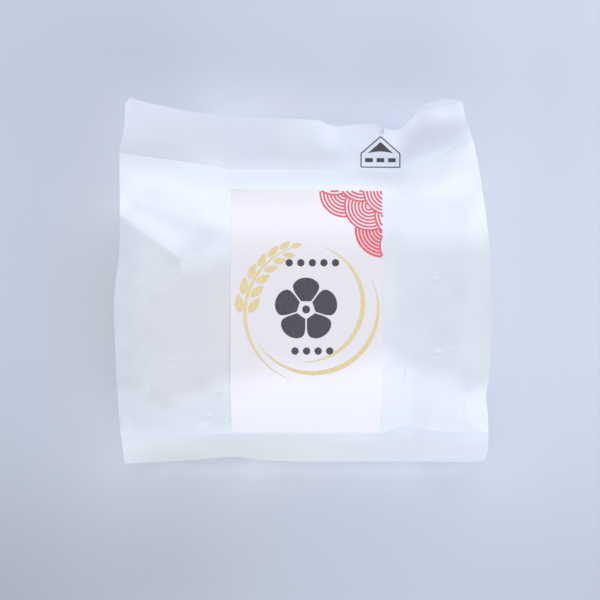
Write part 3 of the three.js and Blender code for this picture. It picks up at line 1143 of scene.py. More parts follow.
@dataclass(frozen=True)
class FilmBody:
    """The filled part of the pack between its end seals: front and back panels and the two gussets."""

    plan: PackPlan
    relief: FilmRelief
    label: LabelPlan
    rows: int = 222
    front_columns: int = 291
    gusset_columns: int = 38
    back_columns: int = 72
    greys: tuple[Patch, ...] = (
        Patch(((-52, -26), (-17, -18), (-17, -46), (-52, -46)), 5, 0.48),
        Patch(((17, -14), (52, -14), (52, -46), (17, -46)), 4, 0.05),
        Patch(((17, 22), (44, 22), (44, 8), (17, 8)), 3, 0.3),
        Patch((
            (-43, 20.5), (-40, 19.4), (-33, 16.4), (-18.3, 12.4), (-17, 0), (-50, 0), (-50, 14),
        ), 1.7, 0.36),
    )
    # Greyer strips along the end seals: painted shade on the walls that rise from the seals.
    top_seal_grey: Curve = Curve((
        (-48, 0.55), (-37, 0.38), (-28, 0), (-14, 0.08), (3, 0.18), (20, 0.32), (24, 0.36), (28, 0.08),
        (31, 0),
    ))
    bottom_seal_grey: Curve = Curve((
        (-48, 0.8), (-30, 0.78), (-19, 0.65), (18, 0.4), (28, 0.1), (48, 0.05),
    ))
    seal_grey_run: Point = (5.5, 7.0)
    # Spots added to the greyness. A few darken the damp plateau on the left. Most are painted shade along
    # the end seals, beside the label's left edge and along the right side. The negative ones are painted
    # highlights on crease ridges, on glints and along the left edge.
    stains_and_painted_light: tuple[Spot, ...] = (
        Spot((-41.5, -10.5), (2.6, 2.4), 0.12),
        Spot((-39, -15), (3.6, 1.9), 0.14, -0.4),
        Spot((-35, -26), (5, 3), 0.07, -0.5),
        Spot((-42, -22.5), (3, 6.5), 0.2),
        Spot((30.5, -7), (5, 4.5), 0.1),
        Spot((36, -14), (5.5, 3.5), 0.1),
        Spot((-38.6, 14.2), (8, 1.5), -0.22, -0.6),
        Spot((-37, 17.4), (4.5, 1.5), 0.12, -0.6),
        Spot((-44.5, 22), (5, 3.6), 0.3),
        Spot((-47.3, -10), (1.5, 6), 0.07),
        Spot((-43.4, -8.5), (2.6, 10.5), 0.1),
        Spot((-30.5, 6), (3.4, 2), 0.3),
        Spot((-24, -28.5), (5, 3.2), 0.22),
        Spot((47.5, -6), (3, 18), 0.16),
        Spot((-25.6, -38.2), (1.5, 1.2), -0.65),
        Spot((25, -21.6), (7, 3), 0.3),
        Spot((36, -25), (7, 2.6), 0.3),
        Spot((40.5, -28), (5, 3.2), 0.2),
        Spot((24, -27), (4, 5), 0.12),
        Spot((-45, -38.5), (5, 2.4), 0.18),
        Spot((22.5, 10.5), (3, 4), 0.22),
        Spot((39.5, -2), (5.5, 12), 0.14),
        Spot((-21, 9.5), (4, 3), 0.15),
        Spot((-47.5, -2), (1.8, 24), -0.14),
        Spot((21.5, -3), (2.6, 12), -0.16),
        Spot((-28, -2), (4, 12), 0.06),
        Spot((21.5, 27), (5.5, 1.6), 0.16),
        Spot((-44, -40.2), (5, 1.4), 0.45),
        Spot((-32, -37.8), (6, 2.4), -0.2),
        Spot((-33, -40.3), (6, 0.9), 0.3),
        Spot((-23.5, -39.9), (6, 1.5), 0.5),
        Spot((26.8, -39.4), (4, 1.4), 0.5),
        Spot((45.5, 25), (3.5, 6), 0.22),
        Spot((-20.8, -26), (3, 4), 0.08),
        Spot((-14.4, 25.6), (0.9, 1.2), -0.3),
    )
    warmth: tuple[Spot, ...] = (
        Spot((-18.5, -10), (10, 17), 0.75),
        Spot((-35, -8), (11, 22), 0.26),
        Spot((-34, -33), (14, 7), 0.3),
        Spot((2, 27.5), (24, 3), 0.3),
        Spot((21, -2), (4.5, 15), 0.4),
    )
    gusset_ridges: tuple[Crease, ...] = (
        Crease((9.5, 15.5), (-6, 25), 0.45, 0.7, bend=1, fade=0.35),
        Crease((10, 15), (-9, 6), 0.4, 0.7, bend=-1.2, fade=0.35),
        Crease((-21, 14.5), (-8, 24.5), 0.45, 0.7, bend=1.2, fade=0.35),
        Crease((-21, 14), (-5, 8), 0.35, 0.7, bend=0.8, fade=0.35),
        Crease((-19, 22), (-12, 5.5), 0.3, 0.6, bend=0.6),
        Crease((4, 24), (1, 12), 0.3, 0.6, bend=-0.6),
    )
    fold_middles: Point = (-47.0, 46.0)
    inset_run: float = 0.2
    back_waves: Grain = Grain(31, (7.0, 4.0), 0.25)
    back_lumps: Grain = Grain(32, (5.0, 5.0))
    back_lump_height: float = 0.04
    tuck_rounding: float = 0.06
    middle_crease: Point = (0.5, 0.035)
    crinkle_run: float = 3.0
    crinkle_at_seals: float = 0.4
    row_crowding: float = 0.3
    column_crowding: float = 0.35
    front_starts: Point = (14.0, 22.0)
    underside_ends: Point = (1.0, 4.0)
    underside_damp: float = 0.8
    side_grey: float = 0.15
    most_grey: float = 1.15

    @staticmethod
    def crowded(count: int, amount: float, waves: int) -> Array:
        """Shares from 0 to 1.

        Args:
            count: how many.
            amount: how much closer together they lie round the ends of each wave.
            waves: how many waves there are.

        Returns:
            The shares.
        """
        line = np.linspace(0.0, 1.0, count)
        turn = waves * 2.0 * math.pi
        return line - amount * np.sin(turn * line) / turn

    def folds(self, share: Array) -> tuple[Array, Array]:
        """x of the left and right side folds in each row.

        Args:
            share: how far along the body each row lies.

        Returns:
            One value for each row, for both folds.
        """
        left, right = self.fold_middles
        plan = self.plan
        return plan.left_fold_x(plan.line_y(share, left)), plan.right_fold_x(plan.line_y(share, right))

    def front_points(self, share: Array, across: Array) -> Array:
        """Points of the front panel.

        Args:
            share: rows along the body, from 0 to 1.
            across: columns from the left fold to the right one, from 0 to 1.

        Returns:
            Points as rows by columns by 3.
        """
        plan = self.plan
        left, right = self.folds(share)
        x = mix(left[:, None], right[:, None], across[None, :])
        y = plan.line_y(share[:, None], x)
        z = plan.front(x, y) + self.relief.front(plan, x, y, self.label.covers(x, y))
        z[0] = plan.bottom_seal_z(x[0]) + plan.seal_thickness / 2 + plan.bottom_root_rise(x[0])
        z[-1] = plan.top_seal_z(x[-1]) + plan.seal_thickness / 2 + plan.top_root_rise(x[-1])
        return np.stack([x, y, z], axis=-1)

    def back_points(self, share: Array) -> Array:
        """Points of the back panel, from the right fold to the left one, as rows by columns by 3.

        Args:
            share: how far along the body each row lies.

        Returns:
            The points.
        """
        plan = self.plan
        inset = plan.back_fold_inset * ease(0.0, self.inset_run, np.minimum(share, 1.0 - share))
        left, right = self.folds(share)
        across = np.linspace(0.0, 1.0, self.back_columns)
        x = mix((right - inset)[:, None], (left + inset)[:, None], across[None, :])
        y = plan.line_y(share[:, None], x)
        z = plan.back(x, y)
        lifted = ease(0.0, 3.0, z - plan.rest_gap)
        z = z + lifted * self.back_waves(x, y) + self.back_lump_height * self.back_lumps(x, y) ** 2
        z[0] = plan.bottom_seal_z(x[0]) - plan.seal_thickness / 2
        z[-1] = plan.top_seal_z(x[-1]) - plan.seal_thickness / 2
        return np.stack([x, y, z], axis=-1)

    def gusset_points(self, share: Array, start: Array, end: Array, inwards: float, seed: int) -> Array:
        """Points of one side wall, without its two folds.

        The wall is tucked in as a V at the seals and swells out between them. The middle crease of the tuck
        stays as a faint line all along.

        Args:
            share: rows along the body, from 0 to 1.
            start: fold points that the wall starts from, one for each row.
            end: fold points that it ends on.
            inwards: -1 for the right wall and 1 for the left one.
            seed: seed of the wall's crinkles.

        Returns:
            Points as rows by columns by 3.
        """
        plan = self.plan
        length = float(plan.top_seal_y(0.0) - plan.bottom_seal_y(0.0))
        from_seal = np.minimum(share, 1.0 - share) * length
        opened = ease(0.0, plan.gusset_opens_over, from_seal)[:, None]
        clear = ease(0.0, plan.gusset_clear_over, from_seal)[:, None]
        down = np.linspace(0.0, 1.0, self.gusset_columns)[None, 1:-1]
        points = mix(start[:, None, :], end[:, None, :], down[..., None])
        v_fold = 1.0 - np.abs(2.0 * down - 1.0) - (from_seal / plan.gusset_opens_over)[:, None]
        tuck = plan.gusset_depth * clear * higher_of(v_fold, np.zeros_like(v_fold), self.tuck_rounding)
        swell = plan.side_bulge * opened * np.sin(math.pi * down)
        crease_height, crease_width = self.middle_crease
        middle_crease = crease_height * opened * np.exp(-np.abs(down - 0.5) / crease_width)
        edge = np.minimum(down, 1.0 - down) * 2.0
        y, z = points[..., 1], points[..., 2]
        wide = Grain(seed, (7.0, 10.0), 0.45)(z, y)
        slanted = np.abs(Grain(seed + 1, (8.0, 6.0), 0.6)(z + 0.5 * y, y))
        fine = np.abs(Grain(seed + 2, (3.0, 4.0), 0.3)(z - 0.4 * y, y))
        crinkles = (wide + slanted + fine) * edge - total(self.gusset_ridges, y, z)
        away = ease(0.0, self.crinkle_run, from_seal)[:, None]
        strength = self.crinkle_at_seals + (1.0 - self.crinkle_at_seals) * opened
        points[..., 0] += inwards * (tuck - swell - middle_crease + crinkles * away * strength)
        points[..., 1] = plan.line_y(share[:, None], points[..., 0])
        return points

    @staticmethod
    def end_cap(front: list[int], back: list[int], x: Array) -> list[Face]:
        """Triangles that close an end of the body, between two lines of points that run along +X.

        Args:
            front: indices along the upper line.
            back: indices along the lower line.
            x: x of every point.

        Returns:
            The triangles, facing -Y.
        """
        faces = []
        i = j = 0
        while i < len(front) - 1 or j < len(back) - 1:
            back_done = j == len(back) - 1
            if back_done or (i < len(front) - 1 and x[front[i + 1]] <= x[back[j + 1]]):
                faces.append((front[i + 1], front[i], back[j]))
                i += 1
            else:
                faces.append((front[i], back[j], back[j + 1]))
                j += 1
        return faces

    def shape(self) -> Shape:
        """The closed body with its painted shares.

        Returns:
            The body.
        """
        share = self.crowded(self.rows, self.row_crowding, 2)
        front = self.front_points(share, self.crowded(self.front_columns, self.column_crowding, 1))
        back = self.back_points(share)
        right = self.gusset_points(share, front[:, -1], back[:, 0], -1.0, 41)
        left = self.gusset_points(share, back[:, -1], front[:, 0], 1.0, 51)
        rings = np.concatenate([front, right, back, left], axis=1)
        around = rings.shape[1]
        points = rings.reshape(-1, 3)
        faces = []
        for row in range(self.rows - 1):
            for i in range(around):
                a = row * around + i
                b = row * around + (i + 1) % around
                faces.append((a, b, b + around, a + around))
        last = (self.rows - 1) * around
        front_ids = list(range(self.front_columns))
        back_ids = list(range(around - 1, self.front_columns - 1, -1))
        start_cap = self.end_cap(front_ids, back_ids, points[:, 0])
        end_cap = self.end_cap([last + i for i in front_ids], [last + i for i in back_ids], points[:, 0])
        faces += start_cap + [face[::-1] for face in end_cap]
        return Shape(points, faces, self.paint(rings), len(start_cap) + len(end_cap))

    def paint(self, rings: Array) -> dict[str, Array]:
        """Painted shares of the body.

        Args:
            rings: its points, as rows by points round the body by 3.

        Returns:
            The shares by name, one value for each point.
        """
        x, y, z = rings[..., 0], rings[..., 1], rings[..., 2]
        on_front = ease(*self.front_starts, z)
        underneath = 1.0 - ease(*self.underside_ends, z)
        damp = np.maximum(self.relief.dampness(x, y) * on_front, self.underside_damp * underneath)
        plan = self.plan
        top_run, bottom_run = self.seal_grey_run
        zones = [patch.inside(x, y) for patch in self.greys]
        # Painted shade along the end seals.
        zones.append(self.top_seal_grey(x) * (1.0 - ease(0.0, top_run, plan.top_seal_y(x) - y)))
        zones.append(self.bottom_seal_grey(x) * (1.0 - ease(0.0, bottom_run, y - plan.bottom_seal_y(x))))
        zone = np.maximum.reduce(zones) * on_front + self.side_grey * (1.0 - on_front)
        # Painted shade and painted highlights, with the drops' painted light, are added to the greyness
        # here.
        stain_and_painted_light = total(self.stains_and_painted_light + self.relief.bead_light_and_shade(), x, y) * on_front
        grey = np.clip(np.maximum(damp, zone) + stain_and_painted_light, 0.0, self.most_grey)
        warm = np.clip(total(self.warmth, x, y), 0.0, 1.0) * on_front
        shares = {"damp": damp, "grey": grey, "warm": warm}
        return {name: share.reshape(-1) for name, share in shares.items()}


class SealEnd(Enum):
    """The two end seals."""

    TOP = "top"
    BOTTOM = "bottom"


@dataclass(frozen=True)
class TearNotch:
    """The notch in the top edge that a tear starts from."""

    x: float = 20.4
    width: float = 1.6
    depth: float = 2.0
    shoulder: float = 0.7
    step: float = 0.01

    def cut(self, x: Array) -> Array:
        """How far the notch cuts in at each x."""
        aside = np.abs(x - self.x) / (self.width / 2)
        return np.where(aside < 1.0, self.depth * mix(1.0, self.shoulder, np.minimum(aside, 1.0)), 0.0)

    def columns(self) -> list[float]:
        """Extra columns that give the notch clean sides.

        Returns:
            x of each column.
        """
        half = self.width / 2
        near, far = half - self.step, half + self.step
        return [self.x + aside for aside in (-far, -near, -half / 2, 0.0, half / 2, near, far)]


@dataclass(frozen=True)
class Flap:
    """The free upper right part of the top fin, where the back leaf parts a little from the front one."""

    start: Point = (25.0, 31.0)
    rise: Point = (0.4, 0.9)
    thinner: float = 0.33
    further: Curve = Curve(((26.0, 0.0), (30.5, 0.6), (35.0, 1.5), (37.0, 1.6), (39.6, 0.6), (41.5, 0.0)))
    # Painted light on the back leaf, where it shows past the front leaf and in the notch.
    pale_start: Point = (24.0, 30.0)
    paler: float = 0.1
    behind_notch: TearNotch = TearNotch(TearNotch.x + 0.3, 0.7, TearNotch.depth - 0.1, 0.85)
    notch_x: float = TearNotch.x
    notch_width: float = 1.2
    notch_rise: Point = (0.6, 0.8)
    notch_paler: float = 0.25

    def parting(self, x: Array, out: Array) -> Array:
        """How much thinner the front leaf gets towards the free edge, where the back leaf rises to it."""
        return self.thinner * ease(*self.start, x) * ease(*self.rise, out)

    def painted_leaf_light(self, x: Array, out: Array) -> Array:
        """Painted light on the back leaf, added to its greyness: below 0, so the leaf is painted lighter
        where it shows past the front leaf and in the notch.
        """
        at_notch = np.exp(-(((x - self.notch_x) / self.notch_width) ** 2)) * ease(*self.notch_rise, out)
        return -self.paler * ease(*self.pale_start, x) - self.notch_paler * at_notch


@dataclass(frozen=True)
class SealFin:
    """The flat fin of an end seal, as a front leaf and a back leaf pressed together.

    The gussets run into the fin's two sides, where it has four layers, and its middle has two.
    """

    plan: PackPlan
    end: SealEnd
    notch: TearNotch | None = None
    rows: int = 44
    columns: int = 300
    leaf: float = 0.42
    leaf_gap: float = 0.02
    side_layers: tuple[Point, Point] = ((-29.0, -31.0), (27.5, 28.5))
    layer_step: float = 0.05
    layer_turn: float = 0.25
    overlap: float = 0.004
    middle_power: float = 1.5
    waves: tuple[Grain, ...] = (Grain(61, (11.0, 9.0), 0.16), Grain(62, (3.5, 4.5), 0.05))
    rag: Grain = Grain(63, (1.6, 1.6), 0.06)
    creases: tuple[Crease, ...] = ()
    dents: tuple[Spot, ...] = ()
    greyness: Point = (0.3, 0.3)
    root_greyness: Curve = Curve(((-48, 0.3), (48, 0.3)))
    # Painted light and shade added to the fin's greyness.
    painted_light_and_shade: tuple[Spot, ...] = ()
    warmth: tuple[Spot, ...] = ()
    most_grey: float = 1.2
    flap: Flap | None = None

    def seal_y(self, x: Array) -> Array:
        """y of the seal line."""
        return self.plan.top_seal_y(x) if self.end is SealEnd.TOP else self.plan.bottom_seal_y(x)

    def edge_y(self, x: Array) -> Array:
        """y of the free edge, without its notch."""
        return self.plan.top_edge_y(x) if self.end is SealEnd.TOP else self.plan.bottom_edge_y(x)

    def middle_z(self, x: Array, out: Array) -> Array:
        """Middle height of the fin.

        Args:
            x: places across it.
            out: 0 at the seal line and 1 at the free edge.

        Returns:
            Heights without fine creases.
        """
        if self.end is SealEnd.TOP:
            curl = np.maximum(out, 0.0) ** self.middle_power
            return mix(self.plan.top_seal_z(x), self.plan.top_edge_z(x), curl)
        return mix(self.plan.bottom_seal_z(x), self.plan.bottom_edge_z(x), np.maximum(out, 0.0))

    def four_layers(self, x: Array, out: Array) -> Array:
        """1 where the gussets lie in the fin and 0 in its middle.

        Args:
            x: places across the pack.
            out: 0 at the seal line and 1 at the free edge.

        Returns:
            The shares.
        """
        (left_in, left_out), (right_in, right_out) = self.side_layers
        left = mix(left_in, left_out, 1.0 - out)
        right = mix(right_in, right_out, 1.0 - out)
        turn = self.layer_turn
        return np.maximum(1.0 - ease(-turn, turn, x - left), ease(-turn, turn, x - right))

    def relief(self, x: Array, y: Array, out: Array) -> Array:
        """Fine heights of the fin's upper side.

        Args:
            x: places across the pack.
            y: places along it.
            out: 0 at the seal line and 1 at the free edge.

        Returns:
            The heights.
        """
        wide, narrow = self.waves
        waves = wide(x, y) + narrow(x, y)
        marks = total(self.creases, x, y) + total(self.dents, x, y)
        step = self.layer_step * self.four_layers(x, out)
        return (waves + marks) * ease(0.0, 0.25, out) + step * ease(0.0, 0.1, out)

    def grid(self, edge_more: Curve | None = None) -> tuple[Array, Array, Array]:
        """Places of the fin's grid.

        Args:
            edge_more: how much further the free edge reaches at each x.

        Returns:
            x, y and how far out each point is, all as rows by columns.
        """
        sign = 1.0 if self.end is SealEnd.TOP else -1.0
        out = np.linspace(-self.overlap, 1.0, self.rows)[:, None]
        left = self.plan.left_fold_x(mix(self.seal_y(-47.0), self.edge_y(-46.0), out))
        right = self.plan.right_fold_x(mix(self.seal_y(46.0), self.edge_y(42.0), out))
        share = np.linspace(0.0, 1.0, self.columns)
        if self.notch is not None:
            extra = (np.array(self.notch.columns()) - left[-1]) / (right[-1] - left[-1])
            share = np.sort(np.concatenate([share, extra]))
        x = mix(left, right, share[None, :])
        edge = self.edge_y(x)
        if edge_more is not None:
            edge = edge + edge_more(x)
        ragged = self.rag(x, np.zeros_like(x)) * sign
        y = mix(self.seal_y(x), edge + ragged * ease(0.5, 1.0, out), out)
        if self.notch is not None:
            cut = self.notch.cut(mix(left[-1], right[-1], share[None, :]))
            y = np.where(cut > 0.0, np.minimum(y, edge - cut - 0.03 * (1.0 - out)), y)
        return x, y, self.out_at(x, y)

    def out_at(self, x: Array, y: Array) -> Array:
        """How far out a place is: 0 at the seal line and 1 at the free edge without its notch."""
        return (y - self.seal_y(x)) / (self.edge_y(x) - self.seal_y(x))

    def upper(self, x: Array, y: Array, out: Array) -> Array:
        """Height of the fin's upper side.

        Args:
            x: places across the pack.
            y: places along it.
            out: 0 at the seal line and 1 at the free edge.

        Returns:
            The heights.
        """
        rise = self.plan.top_root_rise(x) if self.end is SealEnd.TOP else self.plan.bottom_root_rise(x)
        root = self.plan.root(rise, y - self.seal_y(x), self.plan.fin_root_reach)
        flush = (self.plan.seal_thickness / 2 - self.leaf) * (1.0 - ease(0.0, 0.2, out))
        return self.middle_z(x, out) + self.leaf + root + flush + self.relief(x, y, np.maximum(out, 0.0))

    def leaves(self) -> tuple[Shape, Shape]:
        """The front leaf and the back leaf.

        Returns:
            Both leaves.
        """
        x, y, out = self.grid()
        top = self.upper(x, y, out)
        under = top - self.leaf + self.leaf_gap
        if self.flap is None:
            front = self.sheet(x, y, top, under, out)
            return front, self.sheet(x, y, top - self.leaf - self.leaf_gap, top - 2 * self.leaf, out)
        front = self.sheet(x, y, top, under + self.flap.parting(x, out), out)
        x, y, out = replace(self, notch=self.flap.behind_notch).grid(self.flap.further)
        top = self.upper(x, y, out) - self.leaf - self.leaf_gap + self.flap.parting(x, out)
        return front, self.sheet(x, y, top, top - self.leaf, out, self.flap.painted_leaf_light(x, out))

    def sheet(
        self, x: Array, y: Array, top: Array, bottom: Array, out: Array, painted_leaf_light: Array | float = 0.0
    ) -> Shape:
        """One leaf as a closed sheet with its painted shares.

        Args:
            x: places across the fin.
            y: places along it.
            top: heights of the upper side.
            bottom: heights of the lower side.
            out: 0 at the seal line and 1 at the free edge.
            painted_leaf_light: painted light on the leaf, added to its greyness; below 0 it paints the leaf
                lighter.

        Returns:
            The leaf.
        """
        # Greyness of the film's layers, plus the back leaf's painted light and the fin's painted light and
        # shade.
        greyness = mix(*self.greyness, self.four_layers(x, out))
        grey = mix(self.root_greyness(x), greyness, ease(0.0, 0.5, out)) + painted_leaf_light + total(self.painted_light_and_shade, x, y)
        warm = total(self.warmth, x, y)
        paint = {
            "damp": np.zeros_like(x),
            "grey": np.clip(grey, 0.0, self.most_grey),
            "warm": np.clip(warm, 0.0, 1.0),
        }
        if self.end is SealEnd.BOTTOM:
            x, y, top, bottom = (grid[::-1] for grid in (x, y, top, bottom))
            paint = {name: share[::-1] for name, share in paint.items()}
        return closed_sheet(x, y, top, bottom, paint)


@dataclass(frozen=True)
class BackSeam:
    """The lapped seam down the back panel, which the pack rests on."""

    plan: PackPlan
    left: float = -3.0
    right: float = 7.0
    rows: int = 200
    columns: int = 40
    span: Point = (0.004, 0.996)
    rim_run: float = 0.4
    rim_depth: float = 0.35
    rib_height: float = 0.035
    rib_pitch: float = 1.1
    rib_start: Point = (0.8, 1.4)
    thickness: float = 0.3
    greyness: float = 0.6

    def shape(self) -> Shape:
        """The seam's strip, closed, with fine sealing ribs.

        Returns:
            The strip.
        """
        share = np.linspace(*self.span, self.rows)[:, None]
        x = np.linspace(self.left, self.right, self.columns)[None, :]
        y = self.plan.line_y(share, x)
        x = np.broadcast_to(x, y.shape)
        base = self.plan.back(x, y)
        from_rim = np.minimum(x - self.left, self.right - x)
        rim = ease(0.0, self.rim_run, from_rim)
        wave = 1.0 + np.sin(2.0 * math.pi * y / self.rib_pitch)
        ribs = self.rib_height * wave * ease(*self.rib_start, from_rim)
        depth = self.rim_depth + (1.0 - self.rim_depth) * rim
        bottom = base - self.plan.rest_gap * depth + ribs * rim
        none = np.zeros_like(x)
        paint = {"damp": none, "grey": none + self.greyness, "warm": none}
        return closed_sheet(x, y, base + self.thickness, bottom, paint)


@dataclass(frozen=True)
class FilmPack:
    """The whole film pack: body, end seals and back seam."""

    drawing: Drawing
    plan: PackPlan
    relief: FilmRelief
    label: LabelPlan

    def top_fin(self) -> SealFin:
        """The notched top fin.

        Returns:
            The fin.
        """
        return SealFin(
            self.plan,
            SealEnd.TOP,
            notch=TearNotch(),
            dents=(Spot((0.6, 35.4), (4.2, 3.4), -0.75), Spot((4, 40.5), (4.5, 2), 0.35)),
            creases=(
                Crease((-44, 34.5), (-31, 32.4), -0.25, 1.2, Profile.SOFT),
                Crease((-20, 42), (-12, 31), 0.15, 1.6, Profile.SOFT),
                Crease((8, 41), (14, 31), -0.18, 1.6, Profile.SOFT),
            ),
            greyness=(0.62, 0.6),
            root_greyness=Curve((
                (-48, 0.6), (-33, 0.5), (-27, 0.34), (-18, 0.37), (-8, 0.4), (5, 0.47), (20, 0.35),
                (25, 0.3), (29, 0.04), (45, 0),
            )),
            # Painted shade along the fold beside the body and in the curled corner. Painted highlights on
            # the fin's middle, beside the dent and on the curled rim.
            painted_light_and_shade=(
                Spot((-40.5, 34), (11, 2.4), 0.08, -0.14),
                Spot((-19, 33.5), (13, 3.2), -0.12),
                Spot((4, 38.5), (9, 5), -0.5),
                Spot((15, 34), (6, 5), -0.42),
                Spot((24, 36.5), (3, 4.5), -0.5),
                Spot((31.5, 38.6), (3.5, 2.6), 0.12, 0.5),
                Spot((27.6, 41.4), (2.2, 2.4), -0.35),
                Spot((7, 35.5), (3, 3), -0.14),
                Spot((35.5, 31.5), (4, 2), -0.12),
                Spot((38, 44), (6.5, 2.4), -0.8, 0.12),
            ),
            warmth=(
                Spot((0.6, 36), (7, 4.5), 0.8),
                Spot((-32, 35.5), (16, 7), 0.25),
                Spot((-38, 33), (10, 2.5), 0.2),
            ),
            flap=Flap(),
        )

    def bottom_fin(self) -> SealFin:
        """The bottom fin.

        Returns:
            The fin.
        """
        return SealFin(
            self.plan,
            SealEnd.BOTTOM,
            rows=30,
            side_layers=((-31, -30), (31, 30)),
            greyness=(0.58, 0.54),
            root_greyness=Curve((
                (-48, 0.5), (-38, 0.3), (-27, 0.25), (-19, 0.34), (0, 0.42), (8, 0.3), (15, 0.16),
                (23, 0.38), (26, 0.26), (28, 0.17), (31, 0.22), (34, 0.3), (40, 0.34), (48, 0.26),
            )),
            # Painted light on the bottom fin's left corner, middle and right end, and painted shade along
            # its free edge on the left.
            painted_light_and_shade=(
                Spot((-48, -43), (8, 8), -0.2),
                Spot((4, -43), (16, 5), -0.12),
                Spot((-36, -48), (14, 3), 0.25),
                Spot((36, -43.5), (12, 6), -0.1),
                Spot((47, -41), (5, 4), -0.15),
            ),
            warmth=(
                Spot((-6, -44), (27, 6), 1),
                Spot((-40, -43), (9, 6), 0.5),
                Spot((-20, -47.5), (22, 3), 0.35),
            ),
            creases=(Crease((26, -38.6), (30, -46.5), 0.2, 1.2, Profile.SOFT),),
        )

    def build(self, film: Material, sealed: Material) -> None:
        """Makes the pack's pieces.

        Args:
            film: material of the single film.
            sealed: material of the film where two or more layers are sealed together.
        """
        body_shape = FilmBody(self.plan, self.relief, self.label).shape()
        body = self.drawing.object("film_body", body_shape, film, "film")
        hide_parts("pack")
        for name, fin in (("top_seal", self.top_fin()), ("bottom_seal", self.bottom_fin())):
            front, back = fin.leaves()
            self.drawing.object(f"{name}_front_leaf", front, sealed, "film")
            self.drawing.object(f"{name}_back_leaf", back, sealed, "film")
        self.drawing.object("back_seam", BackSeam(self.plan).shape(), film, "film")


# ---- The label and its print ----


@dataclass(frozen=True)
class PrintBed:
    """A surface that ink lies on: a height for each place, and the ink's thickness."""

    height: Callable[[Array, Array], Array]
    lift: float = 0.045
    depth: float = 0.03
    end_turn: float = 0.02

    def strip(self, first: Array, second: Array, across: int = 2) -> Shape:
        """A closed patch of ink between two lines of the same number of points.

        Args:
            first: points along one side, as count by 2.
            second: points along the other side.
            across: points from one side to the other.

        Returns:
            The patch.
        """
        share = np.linspace(0.0, 1.0, across)[:, None, None]
        places = mix(second[None], first[None], share)
        run, aside = first[-1] - first[0], first[0] - second[0]
        if run[0] * aside[1] - run[1] * aside[0] < 0.0:
            places = places[::-1]
        x, y = places[..., 0], places[..., 1]
        top = self.height(x, y) + self.lift
        return closed_sheet(x, y, top, top - self.lift - self.depth)

    def ribbon(self, line: Array, width: Array | float) -> Shape:
        """A line of ink.

        Args:
            line: its middle, as count by 2.
            width: its width at each point.

        Returns:
            The ribbon.
        """
        run = np.gradient(line, axis=0)
        normal = np.stack([-run[:, 1], run[:, 0]], -1) / np.hypot(run[:, 0], run[:, 1])[:, None]
        half = np.broadcast_to(np.asarray(width, float) / 2.0, len(line))[:, None]
        return self.strip(line + normal * half, line - normal * half)

    def disc(self, middle: Point, radius: float, steps: int = 24) -> Shape:
        """A round dot.

        Args:
            middle: its middle.
            radius: its radius.
            steps: points along its edge.

        Returns:
            The dot.
        """
        turn = np.linspace(self.end_turn, math.pi - self.end_turn, steps)
        along, aside = middle[0] - radius * np.cos(turn), radius * np.sin(turn)
        over = np.stack([along, middle[1] + aside], -1)
        under = np.stack([along, middle[1] - aside], -1)
        return self.strip(over, under, 5)

    def leaf(self, middle: Array, tip: Array, along: Array, half: Array, across: int) -> Shape:
        """A long patch that is widest between its ends.

        Args:
            middle: the place that it is measured from.
            tip: direction of its tip.
            along: how far towards the tip each step lies.
            half: half its width at each step.
            across: points from one side to the other.

        Returns:
            The patch.
        """
        line = middle + along[:, None] * tip
        side = half[:, None] * np.array([-tip[1], tip[0]])
        return self.strip(line + side, line - side, across)


@dataclass(frozen=True)
class WaveCircle:
    """One circle of the wave pattern, with the width of its printed rings."""

    x: float
    y: float
    radius: float = 6.43
    line: float = 0.47


